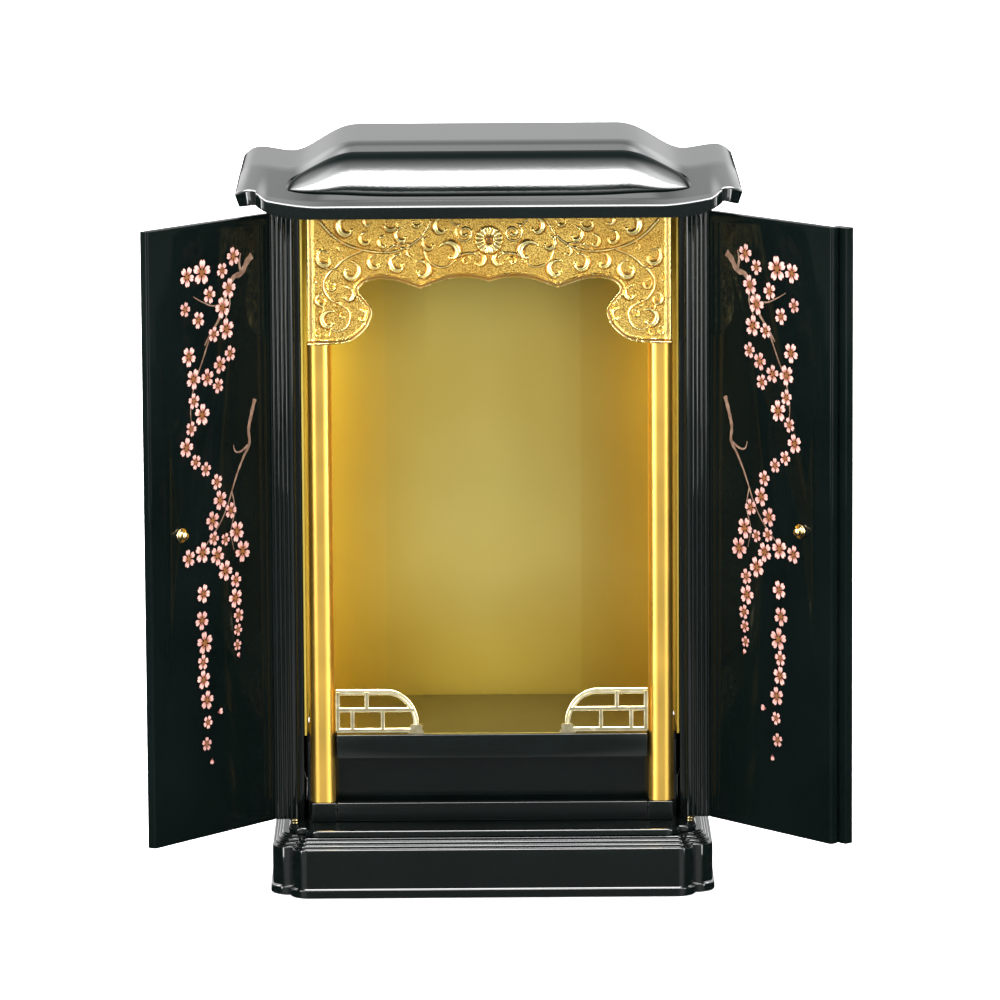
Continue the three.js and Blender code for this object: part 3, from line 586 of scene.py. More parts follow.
def roofUnder(x):
    a = abs(x)
    if a > roof["cuspAt"]:
        reach = (a - roof["cuspAt"]) / (roof["half"] - roof["tipLean"] - roof["cuspAt"])
        return roof["base"] + blend(roof["cuspRise"], roof["tipRise"], min(reach, 1.0))
    share = max(a - roof["underFrom"], 0.0) / (roof["cuspAt"] - roof["underFrom"])
    return roof["base"] + roof["cuspRise"] * share**3


def panelAcross(turn):
    # share of the half width at each quarter turn, finer towards the ends and never quite at them
    return math.sin(turn * math.pi / 2) * panel["widest"]


def panelReach(across, margin=0.0):
    # how far the panel runs up and down the slope from its middle line
    up = (panel["up"] + margin) * math.sqrt(1 - abs(across) ** panel["upPower"])
    return up, (panel["down"] + margin) * (1 - abs(across) ** panel["downPower"])


def panelEdge(margin):
    # outline of the bulging panel from above, grown by a margin
    count = 2 * panel["columns"]
    points = []
    for way in (1, -1):
        for c in range(count):
            across = panelAcross((c / count * 2 - 1) * way)
            up, down = panelReach(across, margin)
            points.append((across * (panel["half"] + margin), -panel["middle"] + (up if way > 0 else -down)))
    return points


def inPolygon(points, polygon):
    inside = np.zeros(len(points), bool)
    x, y = points[:, 0], points[:, 1]
    ends = np.array(polygon)
    starts = np.roll(ends, 1, axis=0)
    for (x0, y0), (x1, y1) in zip(starts, ends):
        if y0 == y1:
            continue
        crosses = (y0 > y) != (y1 > y)
        inside ^= crosses & (x < (x1 - x0) * (y - y0) / (y1 - y0) + x0)
    return inside


def edgeDistance(points, polyline, closed=True):
    ends = np.array(polyline)
    starts = np.roll(ends, 1, axis=0)
    if not closed:
        starts, ends = starts[1:], ends[1:]
    best = np.full(len(points), 1e9)
    for a, b in zip(starts, ends):
        along = b - a
        length = max(float(along @ along), 1e-12)
        t = np.clip(((points - a) @ along) / length, 0, 1)
        best = np.minimum(best, np.linalg.norm(points - a - t[:, None] * along, axis=1))
    return best


def fillOutline(outline, spacing, hole=None, margin=0.6):
    # triangles between an outline and evenly set points; returns points and faces
    loop = np.array(outline, float)
    low, high = loop.min(axis=0), loop.max(axis=0)
    pitch = spacing * math.sqrt(3) / 2
    rows = []
    for j in range(int((high[1] - low[1]) / pitch) + 1):
        xs = np.arange(low[0] + (spacing / 2 if j % 2 else 0), high[0], spacing)
        rows.append(np.column_stack([xs, np.full(len(xs), low[1] + j * pitch)]))
    cells = np.vstack(rows)
    cells = cells[inPolygon(cells, loop)]
    cells = cells[edgeDistance(cells, loop) > spacing * margin]
    edges = [(i, (i + 1) % len(loop)) for i in range(len(loop))]
    points = [loop]
    if hole is not None:
        rim = np.array(hole, float)
        cells = cells[~inPolygon(cells, rim)]
        cells = cells[edgeDistance(cells, rim) > spacing * margin]
        edges += [(len(loop) + i, len(loop) + (i + 1) % len(rim)) for i in range(len(rim))]
        points.append(rim)
    points = np.vstack(points + [cells])
    made, _, faces, *_ = delaunay_2d_cdt([Vector(p) for p in points], edges, [], 1, 1e-7)
    made = np.array([tuple(p) for p in made])
    faces = np.array([f for f in faces if len(f) == 3])
    if hole is not None:
        faces = faces[~inPolygon(made[faces].mean(axis=1), rim)]
    return made, faces


def finePlan(plan, inset):
    # the notched outline with its straight runs divided alike at every inset
    coarse = notchedOutline(roof, 0, True)
    given = notchedOutline(plan, inset, True)
    points = []
    for i, (x, y) in enumerate(given):
        nextX, nextY = given[(i + 1) % len(given)]
        x0, y0 = coarse[i]
        x1, y1 = coarse[(i + 1) % len(coarse)]
        parts = max(int(math.hypot(x1 - x0, y1 - y0) / roof["grid"]), 1)
        points += [(blend(x, nextX, k / parts), blend(y, nextY, k / parts)) for k in range(parts)]
    return points


def makeRoof():
    lowPlan = dict(roof, half=roof["half"] - roof["tipLean"])
    lowRing = [(x, y, roofUnder(x)) for x, y in finePlan(lowPlan, 0)]
    radius = roof["edgeRound"]
    rings = [lowRing]
    for inset, drop in [(radius - x, radius - z) for x, z in arcPoints(0, 0, radius, 0, 90, 6)]:
        rings.append([(x, y, roofTop(x, y) - drop) for x, y in finePlan(roof, inset)])
    wall = loftRings("roof_wall", rings, closedEnds=False)
    rim = [(x, y) for x, y, _ in rings[-1]]
    steps = [(0.0, 0.0), (-0.02, panel["grooveDepth"]), (-panel["under"], panel["grooveDepth"])]
    loops = [[(x, y, roofTop(x, y) - drop) for x, y in panelEdge(panel["groove"] + out)] for out, drop in steps]
    ditch = loftRings("roof_ditch", loops, closedEnds=False)
    points, faces = fillOutline(rim, roof["grid"], hole=[p[:2] for p in loops[0]])
    top = meshObject("roof_top", [(x * mm, y * mm, roofTop(x, y) * mm) for x, y in points], faces)
    points, faces = fillOutline([p[:2] for p in lowRing], roof["underGrid"])
    under = meshObject("roof_under", [(x * mm, y * mm, roofUnder(x) * mm) for x, y in points], faces)
    floor = meshObject("roof_pocket", [np.array(p) * mm for p in loops[-1]], [tuple(range(len(loops[-1])))])
    made = joinPieces("roof_board", [wall, ditch, top, under, floor])
    outwardFaces(made)
    shadeSmooth(made, 40)
    place(made, blackLacquer, "black_lacquer", "cabinet", "roof")


def makeRoofPanel():
    columns, rows = panel["columns"], panel["rows"]
    rings = []
    for c in range(-columns, columns + 1):
        across = panelAcross(c / columns)
        up, down = panelReach(across)
        x = across * panel["half"]
        ring = []
        for r in range(rows + 1):
            along = (1 - math.cos(math.pi * r / rows)) / 2
            y = -panel["middle"] + blend(-down, up, along)
            swell = max(1 - (2 * along - 1) ** 2, 0.0) ** panel["swellPower"]
            swell *= (1 - abs(across) ** panel["endPower"]) ** 0.5
            ring.append((x, y, roofTop(x, y) + panel["crown"] * swell))
        for y in (-panel["middle"] + up, -panel["middle"] - down):
            ring.append((x, y, roofTop(x, y) - panel["seat"]))
        rings.append(ring)
    made = loftRings("roof_panel", rings, 50)
    # painted shade over the panel: full at its upper edge and its foot, fading inwards
    paintedEdgeShade = []
    for vertex in made.data.vertices:
        x, y = vertex.co.x / mm, vertex.co.y / mm
        up, down = panelReach(min(abs(x) / panel["half"], 0.9999))
        fromEdge, fromFoot = up - panel["middle"] - y, y + panel["middle"] + down
        upper = 1 - smoothStep((fromEdge - panel["paintedShadeFrom"]) / panel["paintedShadeOver"]) ** panel["paintedShadePower"]
        paintedEdgeShade.append(max(upper, 1 - smoothStep(fromFoot / panel["paintedShadeFoot"])))
    addAttribute(made.data, "paintedEdgeShade", paintedEdgeShade)
    place(made, panelLacquer, "black_lacquer", "cabinet", "roof_front_panel")


makeRoof()
makeRoofPanel()
print("roof made")


# doors: drawn closed about their pivots, p runs to the cabinet's middle and q to the back
door = {
    "pivotX": 99.6, "pivotY": -46.6, "open": 129.5, "thickness": 5.2, "pillarLength": 9.96,
    "base": 34.7, "top": 341.2, "flutes": 4, "fluteDepth": 0.5, "land": 0.35, "facets": 9,
    "knobFromEdge": 21.8, "knobRise": 154.0, "leafWidth": 99.2, "edgeEase": 0.3,
    # plain edges beside the flutes: inner face, round corner, outer face; and the gap to the leaf
    "innerLand": 0.7, "cornerLand": 0.6, "outerLand": 0.9, "leafGap": 0.15, "easeSpan": 6,
}
# turned profiles as radius and distance from the leaf's outer and inner face
knob = {
    "seat": 0.3, "sides": 32,
    "outer": (
        (0.0, 8.6), (1.4, 8.45), (2.5, 8.0), (3.35, 7.2), (3.75, 6.2), (3.7, 5.3), (3.2, 4.4), (2.4, 3.6), (1.8, 2.9),
        (1.7, 2.2), (1.9, 1.4), (3.6, 1.15), (4.1, 0.9), (4.2, 0.5), (4.2, 0), (1.5, 0),
    ),
    "inner": (
        (1.5, 0), (3.6, 0), (3.7, 0.25), (3.6, 0.65), (3.1, 0.85), (2.1, 1.0), (1.9, 1.3), (1.85, 2.2), (1.9, 2.9),
        (1.7, 3.5), (1.2, 3.9), (0.6, 4.07), (0.0, 4.1),
    ),
}
pivot = {
    "lower": (1, 33.5), "upper": (-1, 342.5), "sides": 24,
    "profile": ((2.1, 0), (2.3, 0.2), (2.3, 0.7), (2.1, 0.9), (1.2, 0.95), (1.2, 6.8), (0.8, 7.2)),
}
doorHalf = door["thickness"] / 2
innerQ = math.sqrt(0.5) * (doorHalf - door["pillarLength"])
outerQ = innerQ - door["thickness"]
cornerP = math.sqrt(0.5) * (doorHalf + door["pillarLength"])


def doorPoint(side, p, q):
    turn = side * math.radians(door["open"])
    x, y = -side * p, q
    return (
        side * door["pivotX"] + x * math.cos(turn) - y * math.sin(turn),
        door["pivotY"] + x * math.sin(turn) + y * math.cos(turn),
    )


def pillarPoint(s, v):
    return (math.sqrt(0.5) * (s + v), math.sqrt(0.5) * (v - s))


def fluteRun(start, stop, face):
    pitch = (stop - start) / door["flutes"]
    way = 1 if pitch > 0 else -1
    points = []
    for i in range(door["flutes"]):
        first = start + i * pitch + way * door["land"] / 2
        width = pitch - way * door["land"]
        for k in range(door["facets"] + 1):
            t = k / door["facets"]
            depth = doorHalf - door["fluteDepth"] * math.sin(math.pi * t)
            points.append(pillarPoint(first + width * t, face * depth))
    return points


def makeDoorPillar(side, hand):
    outerLength = door["pillarLength"] + door["thickness"] * (math.sqrt(2) - 1)
    outline = [(cornerP - door["leafGap"], innerQ)]
    outline += fluteRun(door["pillarLength"] - door["innerLand"], door["cornerLand"], 1)
    outline += arcPoints(0, 0, doorHalf, 45, 225, 16)
    outline += fluteRun(door["cornerLand"], outerLength - door["outerLand"], -1)
    outline.append((pillarPoint(outerLength, -doorHalf)[0] - door["leafGap"], outerQ))
    base, top, ease = door["base"], door["top"], door["edgeEase"]
    middle = np.mean(outline, axis=0)
    rings = []
    for z, shrink in ((base, ease), (base + ease, 0), (top - ease, 0), (top, ease)):
        points = [np.array(p) + (middle - p) * shrink / door["easeSpan"] for p in outline]
        rings.append([(*doorPoint(side, *p), z) for p in points])
    made = loftRings(f"{hand}_door_flutes", rings, 28)
    place(made, flutedLacquer, "black_lacquer", f"{hand}_door", f"{hand}_door_pillar")


def makeKnob(side, hand):
    profile = [(radius, outerQ - knob["seat"] - out) for radius, out in knob["outer"]]
    profile += [(radius, innerQ + knob["seat"] + out) for radius, out in knob["inner"]]
    p, z = door["leafWidth"] - door["knobFromEdge"], door["base"] + door["knobRise"]
    angles = [2 * math.pi * i / knob["sides"] for i in range(knob["sides"])]
    rings = [
        [(*doorPoint(side, p + reach * math.cos(a), q), z + reach * math.sin(a)) for a in angles]
        for reach, q in ((max(radius, 0.001), q) for radius, q in profile)
    ]
    made = loftRings(f"{hand}_knob_turned", rings, 40)
    place(made, brightBrass, "knob_brass", f"{hand}_door", f"{hand}_door_knob")


def makePivots(side, hand):
    angles = np.linspace(0, 2 * math.pi, pivot["sides"], endpoint=False)
    for level in ("lower", "upper"):
        flip, z = pivot[level]
        rings = [
            [(side * door["pivotX"] + r * math.cos(a), door["pivotY"] + r * math.sin(a), z + flip * up) for a in angles]
            for r, up in pivot["profile"]
        ]
        made = loftRings(f"{hand}_{level}_pin", rings, 40)
        place(made, brightBrass, "knob_brass", "cabinet", f"{hand}_{level}_pivot")


for side, hand in hands:
    makeDoorPillar(side, hand)
    makeKnob(side, hand)
    makePivots(side, hand)
print("door pillars, knobs and pivots made")


# gold pillars
goldPillar = {"inner": 78.9, "outer": 91.3, "frontY": -49.5, "depth": 11.0, "round": 5.0, "base": 43.0, "top": 275.2}


def makeGoldPillar(side, hand):
    g = goldPillar
    middle, width = (g["inner"] + g["outer"]) / 2, g["outer"] - g["inner"]
    reach = width / 2 - g["round"]
    outline = [(width / 2, g["frontY"] + g["depth"]), (-width / 2, g["frontY"] + g["depth"])]
    outline += arcPoints(-reach, g["frontY"] + g["round"], g["round"], 180, 270, 14)
    outline += arcPoints(reach, g["frontY"] + g["round"], g["round"], 270, 360, 14)
    rings = [[(side * middle + x, y, z) for x, y in outline] for z in np.linspace(g["base"], g["top"], 9)]
    made = loftRings(f"{hand}_pillar_gilded", rings, 40)
    place(made, pillarGilt, "gilt", "cabinet", f"{hand}_gold_pillar")


# handrails: rounded bars, the top one a double bead
rail = {
    "start": 78.0, "straight": 25.0, "reach": 15.0, "middleY": -46.9, "depth": 2.2, "floor": 77.7,
    "edgePower": 0.55, "sides": 28, "beadWidth": 0.32, "beadDepth": 0.3, "footEase": 0.2, "arcSteps": 22,
    "sink": 0.4, "tuck": 1.2,
    "top": 21.2, "middle": 12.2, "low": 1.7, "bar": 2.5, "topBar": 3.2, "footHeight": 4.6,
    "uprights": ((0.38, "middle", "top"), (0.2, "low", "middle"), (0.58, "low", "middle")),
    "foot": (
        (4.0, 0.0), (4.0, 0.8), (3.3, 1.3), (2.9, 2.5), (2.9, 3.0), (3.2, 3.2), (3.2, 3.8), (2.7, 4.2), (2.7, 4.6),
    ),
}


def barSection(height, depth, groove=0.0):
    points = []
    for a in np.linspace(0, 2 * math.pi, rail["sides"], endpoint=False):
        c, s = math.cos(a), math.sin(a)
        up = math.copysign(abs(s) ** rail["edgePower"], s) * height / 2
        out = math.copysign(abs(c) ** rail["edgePower"], c) * depth / 2
        points.append((up, out * (1 - groove * math.exp(-((up / rail["beadWidth"]) ** 2)))))
    return points


def sweepBar(path, section):
    # path in the rail's plane as (x, z); section as (across, out)
    path = np.array(path, float)
    rings = []
    for i, point in enumerate(path):
        along = path[min(i + 1, len(path) - 1)] - path[max(i - 1, 0)]
        along /= np.linalg.norm(along)
        across = np.array((-along[1], along[0]))
        rings.append([(point[0] + across[0] * u, rail["middleY"] + v, point[1] + across[1] * u) for u, v in section])
    return loftRings("rail_bar", rings, 40)


def makeHandrail(side, hand):
    start, floor = rail["start"], rail["floor"]
    arcStart = start - rail["straight"]
    end = arcStart - rail["reach"]
    spring = rail["footHeight"] - rail["sink"]
    bar = barSection(rail["bar"], rail["depth"])
    topPath = [(start, floor + rail["top"])]
    for a in np.linspace(90, 0, rail["arcSteps"]):
        turn = math.radians(a)
        x = arcStart - rail["reach"] * math.cos(turn)
        topPath.append((x, floor + spring + (rail["top"] - spring) * math.sin(turn)))
    runs = [[(start, rail["middle"]), (end + rail["tuck"], rail["middle"])]]
    runs.append([(start, rail["low"]), (end, rail["low"])])
    uprights = [(start - rail["bar"] / 4, "low", "top")]
    uprights += [(start - (start - end) * share, foot, head) for share, foot, head in rail["uprights"]]
    runs += [[(x, rail[foot]), (x, rail[head])] for x, foot, head in uprights]
    topBar = barSection(rail["topBar"], rail["depth"], rail["beadDepth"])
    parts = [sweepBar([(side * x, z) for x, z in topPath], topBar)]
    parts += [sweepBar([(side * x, floor + z) for x, z in run], bar) for run in runs]
    foot = [(side * end + x, floor + z) for x, z in rail["foot"]]
    foot += [(side * end - x, floor + z) for x, z in reversed(rail["foot"])]
    near, far = rail["middleY"] - rail["depth"] / 2, rail["middleY"] + rail["depth"] / 2
    depths = (near, near + rail["footEase"], far - rail["footEase"], far)
    parts.append(loftRings("rail_foot", [[(x, y, z) for x, z in foot] for y in depths]))
    made = joinPieces(f"{hand}_handrail_cast", parts)
    place(made, paleGold, "pale_gold", "cabinet", f"{hand}_handrail")


for side, hand in hands:
    makeGoldPillar(side, hand)
    makeHandrail(side, hand)
print("gold pillars and handrails made")


# carved valance: scrolls, leaf curls and a round flower raised over a punched ground
valance = {
    "half": 90.7, "top": 339.0, "height": 63.5, "groundY": -49.2, "backY": -46.6, "spacing": 0.33,
    "arch": 32.8, "neckDrop": 5.5, "lobe": 58.2, "neck": 6.7, "cusp": 34.2, "cuspDrop": 5.2, "middleDrop": 1.9,
    "relief": 1.25, "grainFrom": 0.22,
    "stemTaper": 0.35, "stemShare": 0.75, "curlGroove": 0.42, "curlTip": 0.17, "tipLift": 0.8,
}
# right half, mirrored to the left: x from the middle, z in the cabinet's frame; then width and lift
stems = [
    ([(84, 337), (78.6, 331), (71.5, 326), (63, 323), (52.7, 321.6), (45, 322.6), (38.5, 325.5), (33.3, 329.8),
      (28.6, 337)], 1.5, 1.2),
    ([(63, 322.4), (69, 320), (73.5, 317), (76.7, 314), (81, 313.5), (85, 318), (84.5, 322.6), (80, 321.6)], 1.2, 1.0),
    ([(78.6, 312.6), (82, 307.6), (82, 302.4), (78.6, 297.8), (74.8, 295.9), (70.2, 292.6), (69.3, 288),
      (71.5, 283.8), (76, 282.2), (81, 284.8), (83.8, 288.7)], 1.2, 0.9),
    ([(33, 329), (32.7, 324), (30.7, 318), (26, 314.4), (21, 314.4), (17, 317.4)], 1.3, 1.1),
    ([(15, 319.4), (12.6, 320.6), (8, 320.9), (4.6, 318.8)], 1.3, 1.0),
    ([(20.5, 339), (17.2, 335.6), (14.4, 335.2)], 0.9, 0.7),
    ([(47, 325.4), (43, 323.8), (38.2, 325)], 1.0, 0.8),
    ([(52, 321.8), (47, 325), (42.5, 326), (38, 325.2)], 1.1, 0.8),
]
# leaf curls: middle x, z, size, first angle, sweep
leafCurls = [
    (69.2, 312.2, 5.0, 100, 290), (70.9, 300.2, 4.2, 80, 230), (83.2, 297.6, 3.2, 100, -320),
    (64.0, 289.4, 3.6, 70, 220), (72.5, 289.8, 2.3, 120, -220), (56.2, 316.4, 4.2, 95, -250),
    (44.8, 315.7, 4.8, 95, -265), (33.8, 312.4, 4.9, 60, 270), (38.6, 321.4, 2.8, 80, -190),
    (73.2, 323.4, 2.2, 120, -220), (60.8, 328.2, 3.7, 95, -265), (51.8, 326.4, 3.6, 90, -215),
    (42.6, 329.8, 4.2, 80, -225), (49.6, 335.8, 4.0, 165, 210), (69.9, 334.0, 5.8, 100, -240),
    (29.2, 325.6, 3.9, 70, -225), (22.8, 334.0, 4.8, 95, -220), (5.6, 317.2, 4.4, 55, 235),
    (11.4, 317.0, 2.3, 160, -300), (19.7, 320.8, 6.0, 40, 215), (79.2, 287.4, 5.0, 110, -240),
    (85.0, 281.4, 2.2, 100, -260), (81.0, 280.8, 1.9, 60, 240), (78.3, 305.2, 2.6, 60, -330),
    (59.5, 336.6, 3.2, 120, -230), (36.5, 336.8, 3.0, 170, 200), (80.8, 318.6, 4.9, 65, -235),
    (84.0, 292.8, 2.2, 40, 240), (75.4, 295.0, 1.9, 150, -220), (86.0, 308.0, 1.8, 90, -230),
]
spirals = [(11.9, 331.0, 4.9, 60, -560)]
rosette = {
    "z": 327.5, "radius": 6.8, "petals": 16, "petalLift": 1.15, "bossRadius": 2.5, "bossGap": 0.5,
    "rimLift": 1.3, "rimWidth": 0.42, "domeLift": 0.35, "domeRadius": 1.9, "clear": 0.8,
}
border = {
    # beads along the lower edge and up the sides: height, distance in, half width
    "edgeBeads": ((0.75, 0.35, 0.5), (0.95, 2.05, 0.42)), "sideBeads": ((0.95, 0.7, 0.62), (0.95, 2.8, 0.55)),
    # bands of painted shade between the beads: distance in, half width
    "edgeShadeBand": (1.2, 0.55), "sideShadeBand": (1.75, 0.4), "edgeWidth": 2.6, "sideWidth": 3.5,
}


def valanceOutline():
    v = valance
    arch, lobe, cuspX = v["arch"], v["lobe"], v["cusp"]
    neck, cusp, side = arch - v["neckDrop"], arch - v["cuspDrop"], lobe + v["neck"]
    outer = [
        (v["half"], 0), (side + 15, 0.1), (side + 7.7, 0.7), (side + 3.3, 2), (lobe + 5.6, 5.3),
        (lobe + 2.3, 9), (lobe + 0.4, 13.4), (lobe, 16.3), (lobe + 1.2, 19.6), (side - 2.5, neck - 4),
        (side - 0.5, neck - 1.8), (side, neck), (side - 0.7, neck + 1.5), (side - 3.2, arch - 1.9),
        (side - 6.9, arch - 0.7), (side - 10.6, arch - 0.3), (side - 17.9, arch - 0.9), (cuspX + 6.9, arch - 2.7),
        (cuspX, cusp),
    ]
    inner = [
        (cuspX, cusp), (cuspX - 6.2, arch - 2.9), (cuspX - 12.8, arch - 0.7), (cuspX - 19.4, arch + 0.3),
        (cuspX / 4, arch + 0.1), (cuspX / 9, arch - 0.7), (0, arch - v["middleDrop"]),
    ]
    edge = list(smoothPath(outer, 130)) + list(smoothPath(inner, 60))[1:]
    right = [(x, v["top"] - v["height"] + z) for x, z in edge]
    return right + [(-x, z) for x, z in right[-2::-1]]


def raiseRidge(points, height, paintedHollowShade, path, widths, lift, grooves):
    # raises a tapering ridge along a path; grooves runs a hollow line beside its middle. Painted shade goes just
    # outside its edges
    reach = widths.max() * 1.6
    low, high = path.min(axis=0) - reach, path.max(axis=0) + reach
    near = np.where(((points >= low) & (points <= high)).all(axis=1))[0]
    if len(near) == 0:
        return
    offset = points[near][:, None, :] - path[None, :, :]
    distance = np.linalg.norm(offset, axis=2)
    closest = distance.argmin(axis=1)
    tangent = np.gradient(path, axis=0)
    tangent /= np.linalg.norm(tangent, axis=1)[:, None] + 1e-9
    normal = np.column_stack([-tangent[:, 1], tangent[:, 0]])[closest]
    rows = np.arange(len(near))
    side = np.sign((offset[rows, closest] * normal).sum(axis=1))
    u = side * distance[rows, closest] / (widths[closest] / 2)
    profile = np.sqrt(np.clip(1 - u**2, 0, 1))
    profile -= grooves * np.exp(-(((u - 0.18) / 0.2) ** 2)) * (np.abs(u) < 1)
    share = (widths / widths.max())[closest] ** 0.6
    raised = lift * share * np.clip(profile, 0, 1)
    height[near] = np.maximum(height[near], np.where(np.abs(u) < 1, raised, 0))
    # painted shade just outside the ridge, stronger beside its wider parts
    edge = np.exp(-(((np.abs(u) - 1.15) / 0.35) ** 2)) * share
    paintedHollowShade[near] = np.maximum(paintedHollowShade[near], edge)


def turningPath(x, z, radius, angle):
    return np.column_stack([x + radius * np.cos(angle), z + radius * np.sin(angle)])


def curlPath(x, z, size, first, sweep):
    # a leaf curl that tightens and swells along its way
    t = np.linspace(0, 1, 56)
    path = turningPath(x, z, size * (1 - 0.62 * t**1.5), np.radians(first + sweep * t))
    widths = size * (0.1 + 0.5 * np.sin(math.pi * np.clip(t * 0.94 + 0.03, 0, 1)) ** 1.3)
    return path, widths


def carveRelief(points):
    # height over the ground, and how much painted shade each place takes
    half = np.column_stack([np.abs(points[:, 0]), points[:, 1]])
    height = np.zeros(len(points))
    paintedHollowShade = np.zeros(len(points))
    for bends, width, lift in stems:
        path = smoothPath(bends, 90)
        t = np.linspace(0, 1, len(path))
        widths = width * (1 - valance["stemTaper"] * t)
        raiseRidge(half, height, paintedHollowShade, path, widths, lift * valance["stemShare"], 0.0)
    for x, z, size, first, sweep in spirals:
        t = np.linspace(0, 1, 120)
        path = turningPath(x, z, size * (1 - 0.8 * t), np.radians(first + sweep * t))
        raiseRidge(half, height, paintedHollowShade, path, 0.8 + 0.5 * t, 0.75, 0.0)
    for curl in leafCurls:
        path, widths = curlPath(*curl)
        raiseRidge(half, height, paintedHollowShade, path, widths, valance["relief"], valance["curlGroove"])
        tip = np.linalg.norm(half - path[-1], axis=1) / (curl[2] * valance["curlTip"])
        height = np.maximum(height, valance["tipLift"] * np.sqrt(np.clip(1 - tip**2, 0, 1)))
    return carveRosette(points, height, paintedHollowShade)


def carveRosette(points, height, paintedHollowShade):
    # a round flower over the middle, with a hollow rim and a low dome inside its petals; painted shade lies between the
    # petals, round the flower and inside the rim
    flower = points - np.array((0, rosette["z"]))
    reach = np.linalg.norm(flower, axis=1)
    turn = np.arctan2(flower[:, 1], flower[:, 0]) * rosette["petals"] / (2 * math.pi)
    across = np.abs(turn - np.floor(turn) - 0.5) * 2
    inner, outer = rosette["bossRadius"] + rosette["bossGap"], rosette["radius"]
    along = np.clip((reach - inner) / (outer - inner), 0, 1)
    tipRound = np.sqrt(np.clip(1 - ((along - 0.5) / 0.5) ** 8, 0, 1))
    petal = rosette["petalLift"] * np.sqrt(np.clip(1 - across**2.4, 0, 1)) * tipRound * (0.65 + 0.35 * along)
    cleared = reach < outer + rosette["clear"]
    onFlower = (reach < outer) & (reach > inner)
    height = np.where(cleared, np.where(onFlower, petal, 0.0), height)
    paintedHollowShade = np.where(cleared, np.where(onFlower, np.clip(across * 2.5 - 1.6, 0, 1), 0.6), paintedHollowShade)
    rim = np.exp(-(((reach - rosette["bossRadius"]) / rosette["rimWidth"]) ** 4))
    dome = rosette["domeLift"] * np.clip(1 - (reach / rosette["domeRadius"]) ** 2, 0, 1)
    height = np.where(reach < inner, np.maximum(rosette["rimLift"] * rim, dome), height)
    paintedHollowShade = np.where(reach < inner - 0.4, np.clip(1.2 - rim * 1.3, 0, 1), paintedHollowShade)
    return height, paintedHollowShade


def carveBorder(points, outline, height, paintedHollowShade):
    # two beads with a low band of painted shade between them, along the lower edge and up both sides
    lower = edgeDistance(points, outline, closed=False)
    side = valance["half"] - np.abs(points[:, 0])

    def beads(distance, shapes):
        return np.maximum(*(lift * np.clip(1 - ((distance - at) / width) ** 2, 0, 1) for lift, at, width in shapes))

    def band(distance, at, width):
        return np.exp(-(((distance - at) / width) ** 4))

    edge, flank = beads(lower, border["edgeBeads"]), beads(side, border["sideBeads"])
    edgeShadeBand, sideShadeBand = band(lower, *border["edgeShadeBand"]), band(side, *border["sideShadeBand"])
    inBorder = (lower < border["edgeWidth"]) | (side < border["sideWidth"])
    height = np.where(inBorder, 0, height)
    paintedHollowShade = np.where(inBorder, 0, paintedHollowShade)
    height = np.maximum(height, np.where((side < border["sideWidth"]) & (lower > 1.0), flank, 0))
    height = np.maximum(height, np.where(lower < side + 1.5, edge, edge * (side > 3.4)))
    paintedHollowShade = np.maximum(paintedHollowShade, np.maximum(edgeShadeBand, np.where(lower > 2.2, sideShadeBand, 0)))
    return height, paintedHollowShade, inBorder


def makeValance():
    outline = valanceOutline() + [(-valance["half"], valance["top"]), (valance["half"], valance["top"])]
    points, faces = fillOutline(outline, valance["spacing"], margin=0.5)
    height, paintedHollowShade = carveRelief(points)
    height, paintedHollowShade, inBorder = carveBorder(points, valanceOutline(), height, paintedHollowShade)
    ground = np.clip(1 - height / valance["grainFrom"], 0, 1) * ~inBorder
    count, rim = len(points), len(outline)
    front = [(x, valance["groundY"] - h, z) for (x, z), h in zip(points, height)]
    back = [(x, valance["backY"], z) for x, z in points[:rim]]
    wall = [(i, (i + 1) % rim, count + (i + 1) % rim, count + i) for i in range(rim)]
    skin = [tuple(f) for f in faces] + wall + [tuple(range(count, count + rim))]
    made = meshObject("valance_carving", [np.array(p) * mm for p in front + back], skin)
    addAttribute(made.data, "ground", np.append(ground, np.zeros(rim)))
    # painted shade over the carving; the back and sides take half
    addAttribute(made.data, "paintedHollowShade", np.append(paintedHollowShade, np.full(rim, 0.5)))
    outwardFaces(made)
    shadeSmooth(made, 62)
    place(made, carvedGilt, "gilt", "cabinet", "carved_valance")
    print("valance carved,", len(made.data.polygons), "faces")


makeValance()


# cherry blossoms painted on the inner faces of the doors, drawn on a flat leaf and laid on both
painting = {
    "seed": 11, "petals": 5, "lift": 0.05, "bloomLift": 0.1, "layer": 0.012,
    "sizeSpread": 0.05, "sizes": (0.66, 1.1), "apart": 0.49, "looseLength": 0.9, "looseTurn": 1.1,
    "looseTurnStep": 1.9, "looseTint": 0.5, "pathSteps": 60, "tries": 80, "stray": 1.3, "waver": 0.12,
    "waverPitch": 1.7,
}
# places on the leaf, as distance from its hinge corner and height; then first and last width
branches = [
    ([(13, 322), (17, 319), (21, 314), (27, 312.5), (31, 307), (35, 300), (38, 293), (44, 287), (49, 281)], 3.6, 0.8),
    ([(21, 314), (22.5, 319), (21.5, 324)], 2.0, 0.7),
    ([(31, 307), (30, 299), (34, 291), (36, 284)], 1.0, 0.4),
    ([(35, 300), (43, 300), (51, 303), (57, 306)], 0.9, 0.4),
    ([(44, 287), (50, 275), (57, 262), (60, 249), (58, 238)], 1.0, 0.4),
    ([(12, 250), (15, 242), (17, 235), (16.5, 228), (21, 222), (26, 214), (30, 206)], 2.6, 0.8),
    ([(16.5, 228), (23, 225), (27, 225.5), (28.5, 229)], 1.4, 0.5),
    ([(30, 206), (34, 198), (40, 190), (48, 183), (54, 177)], 0.9, 0.4),
    ([(30, 206), (28, 196), (31, 186), (29, 176)], 0.8, 0.3),
]
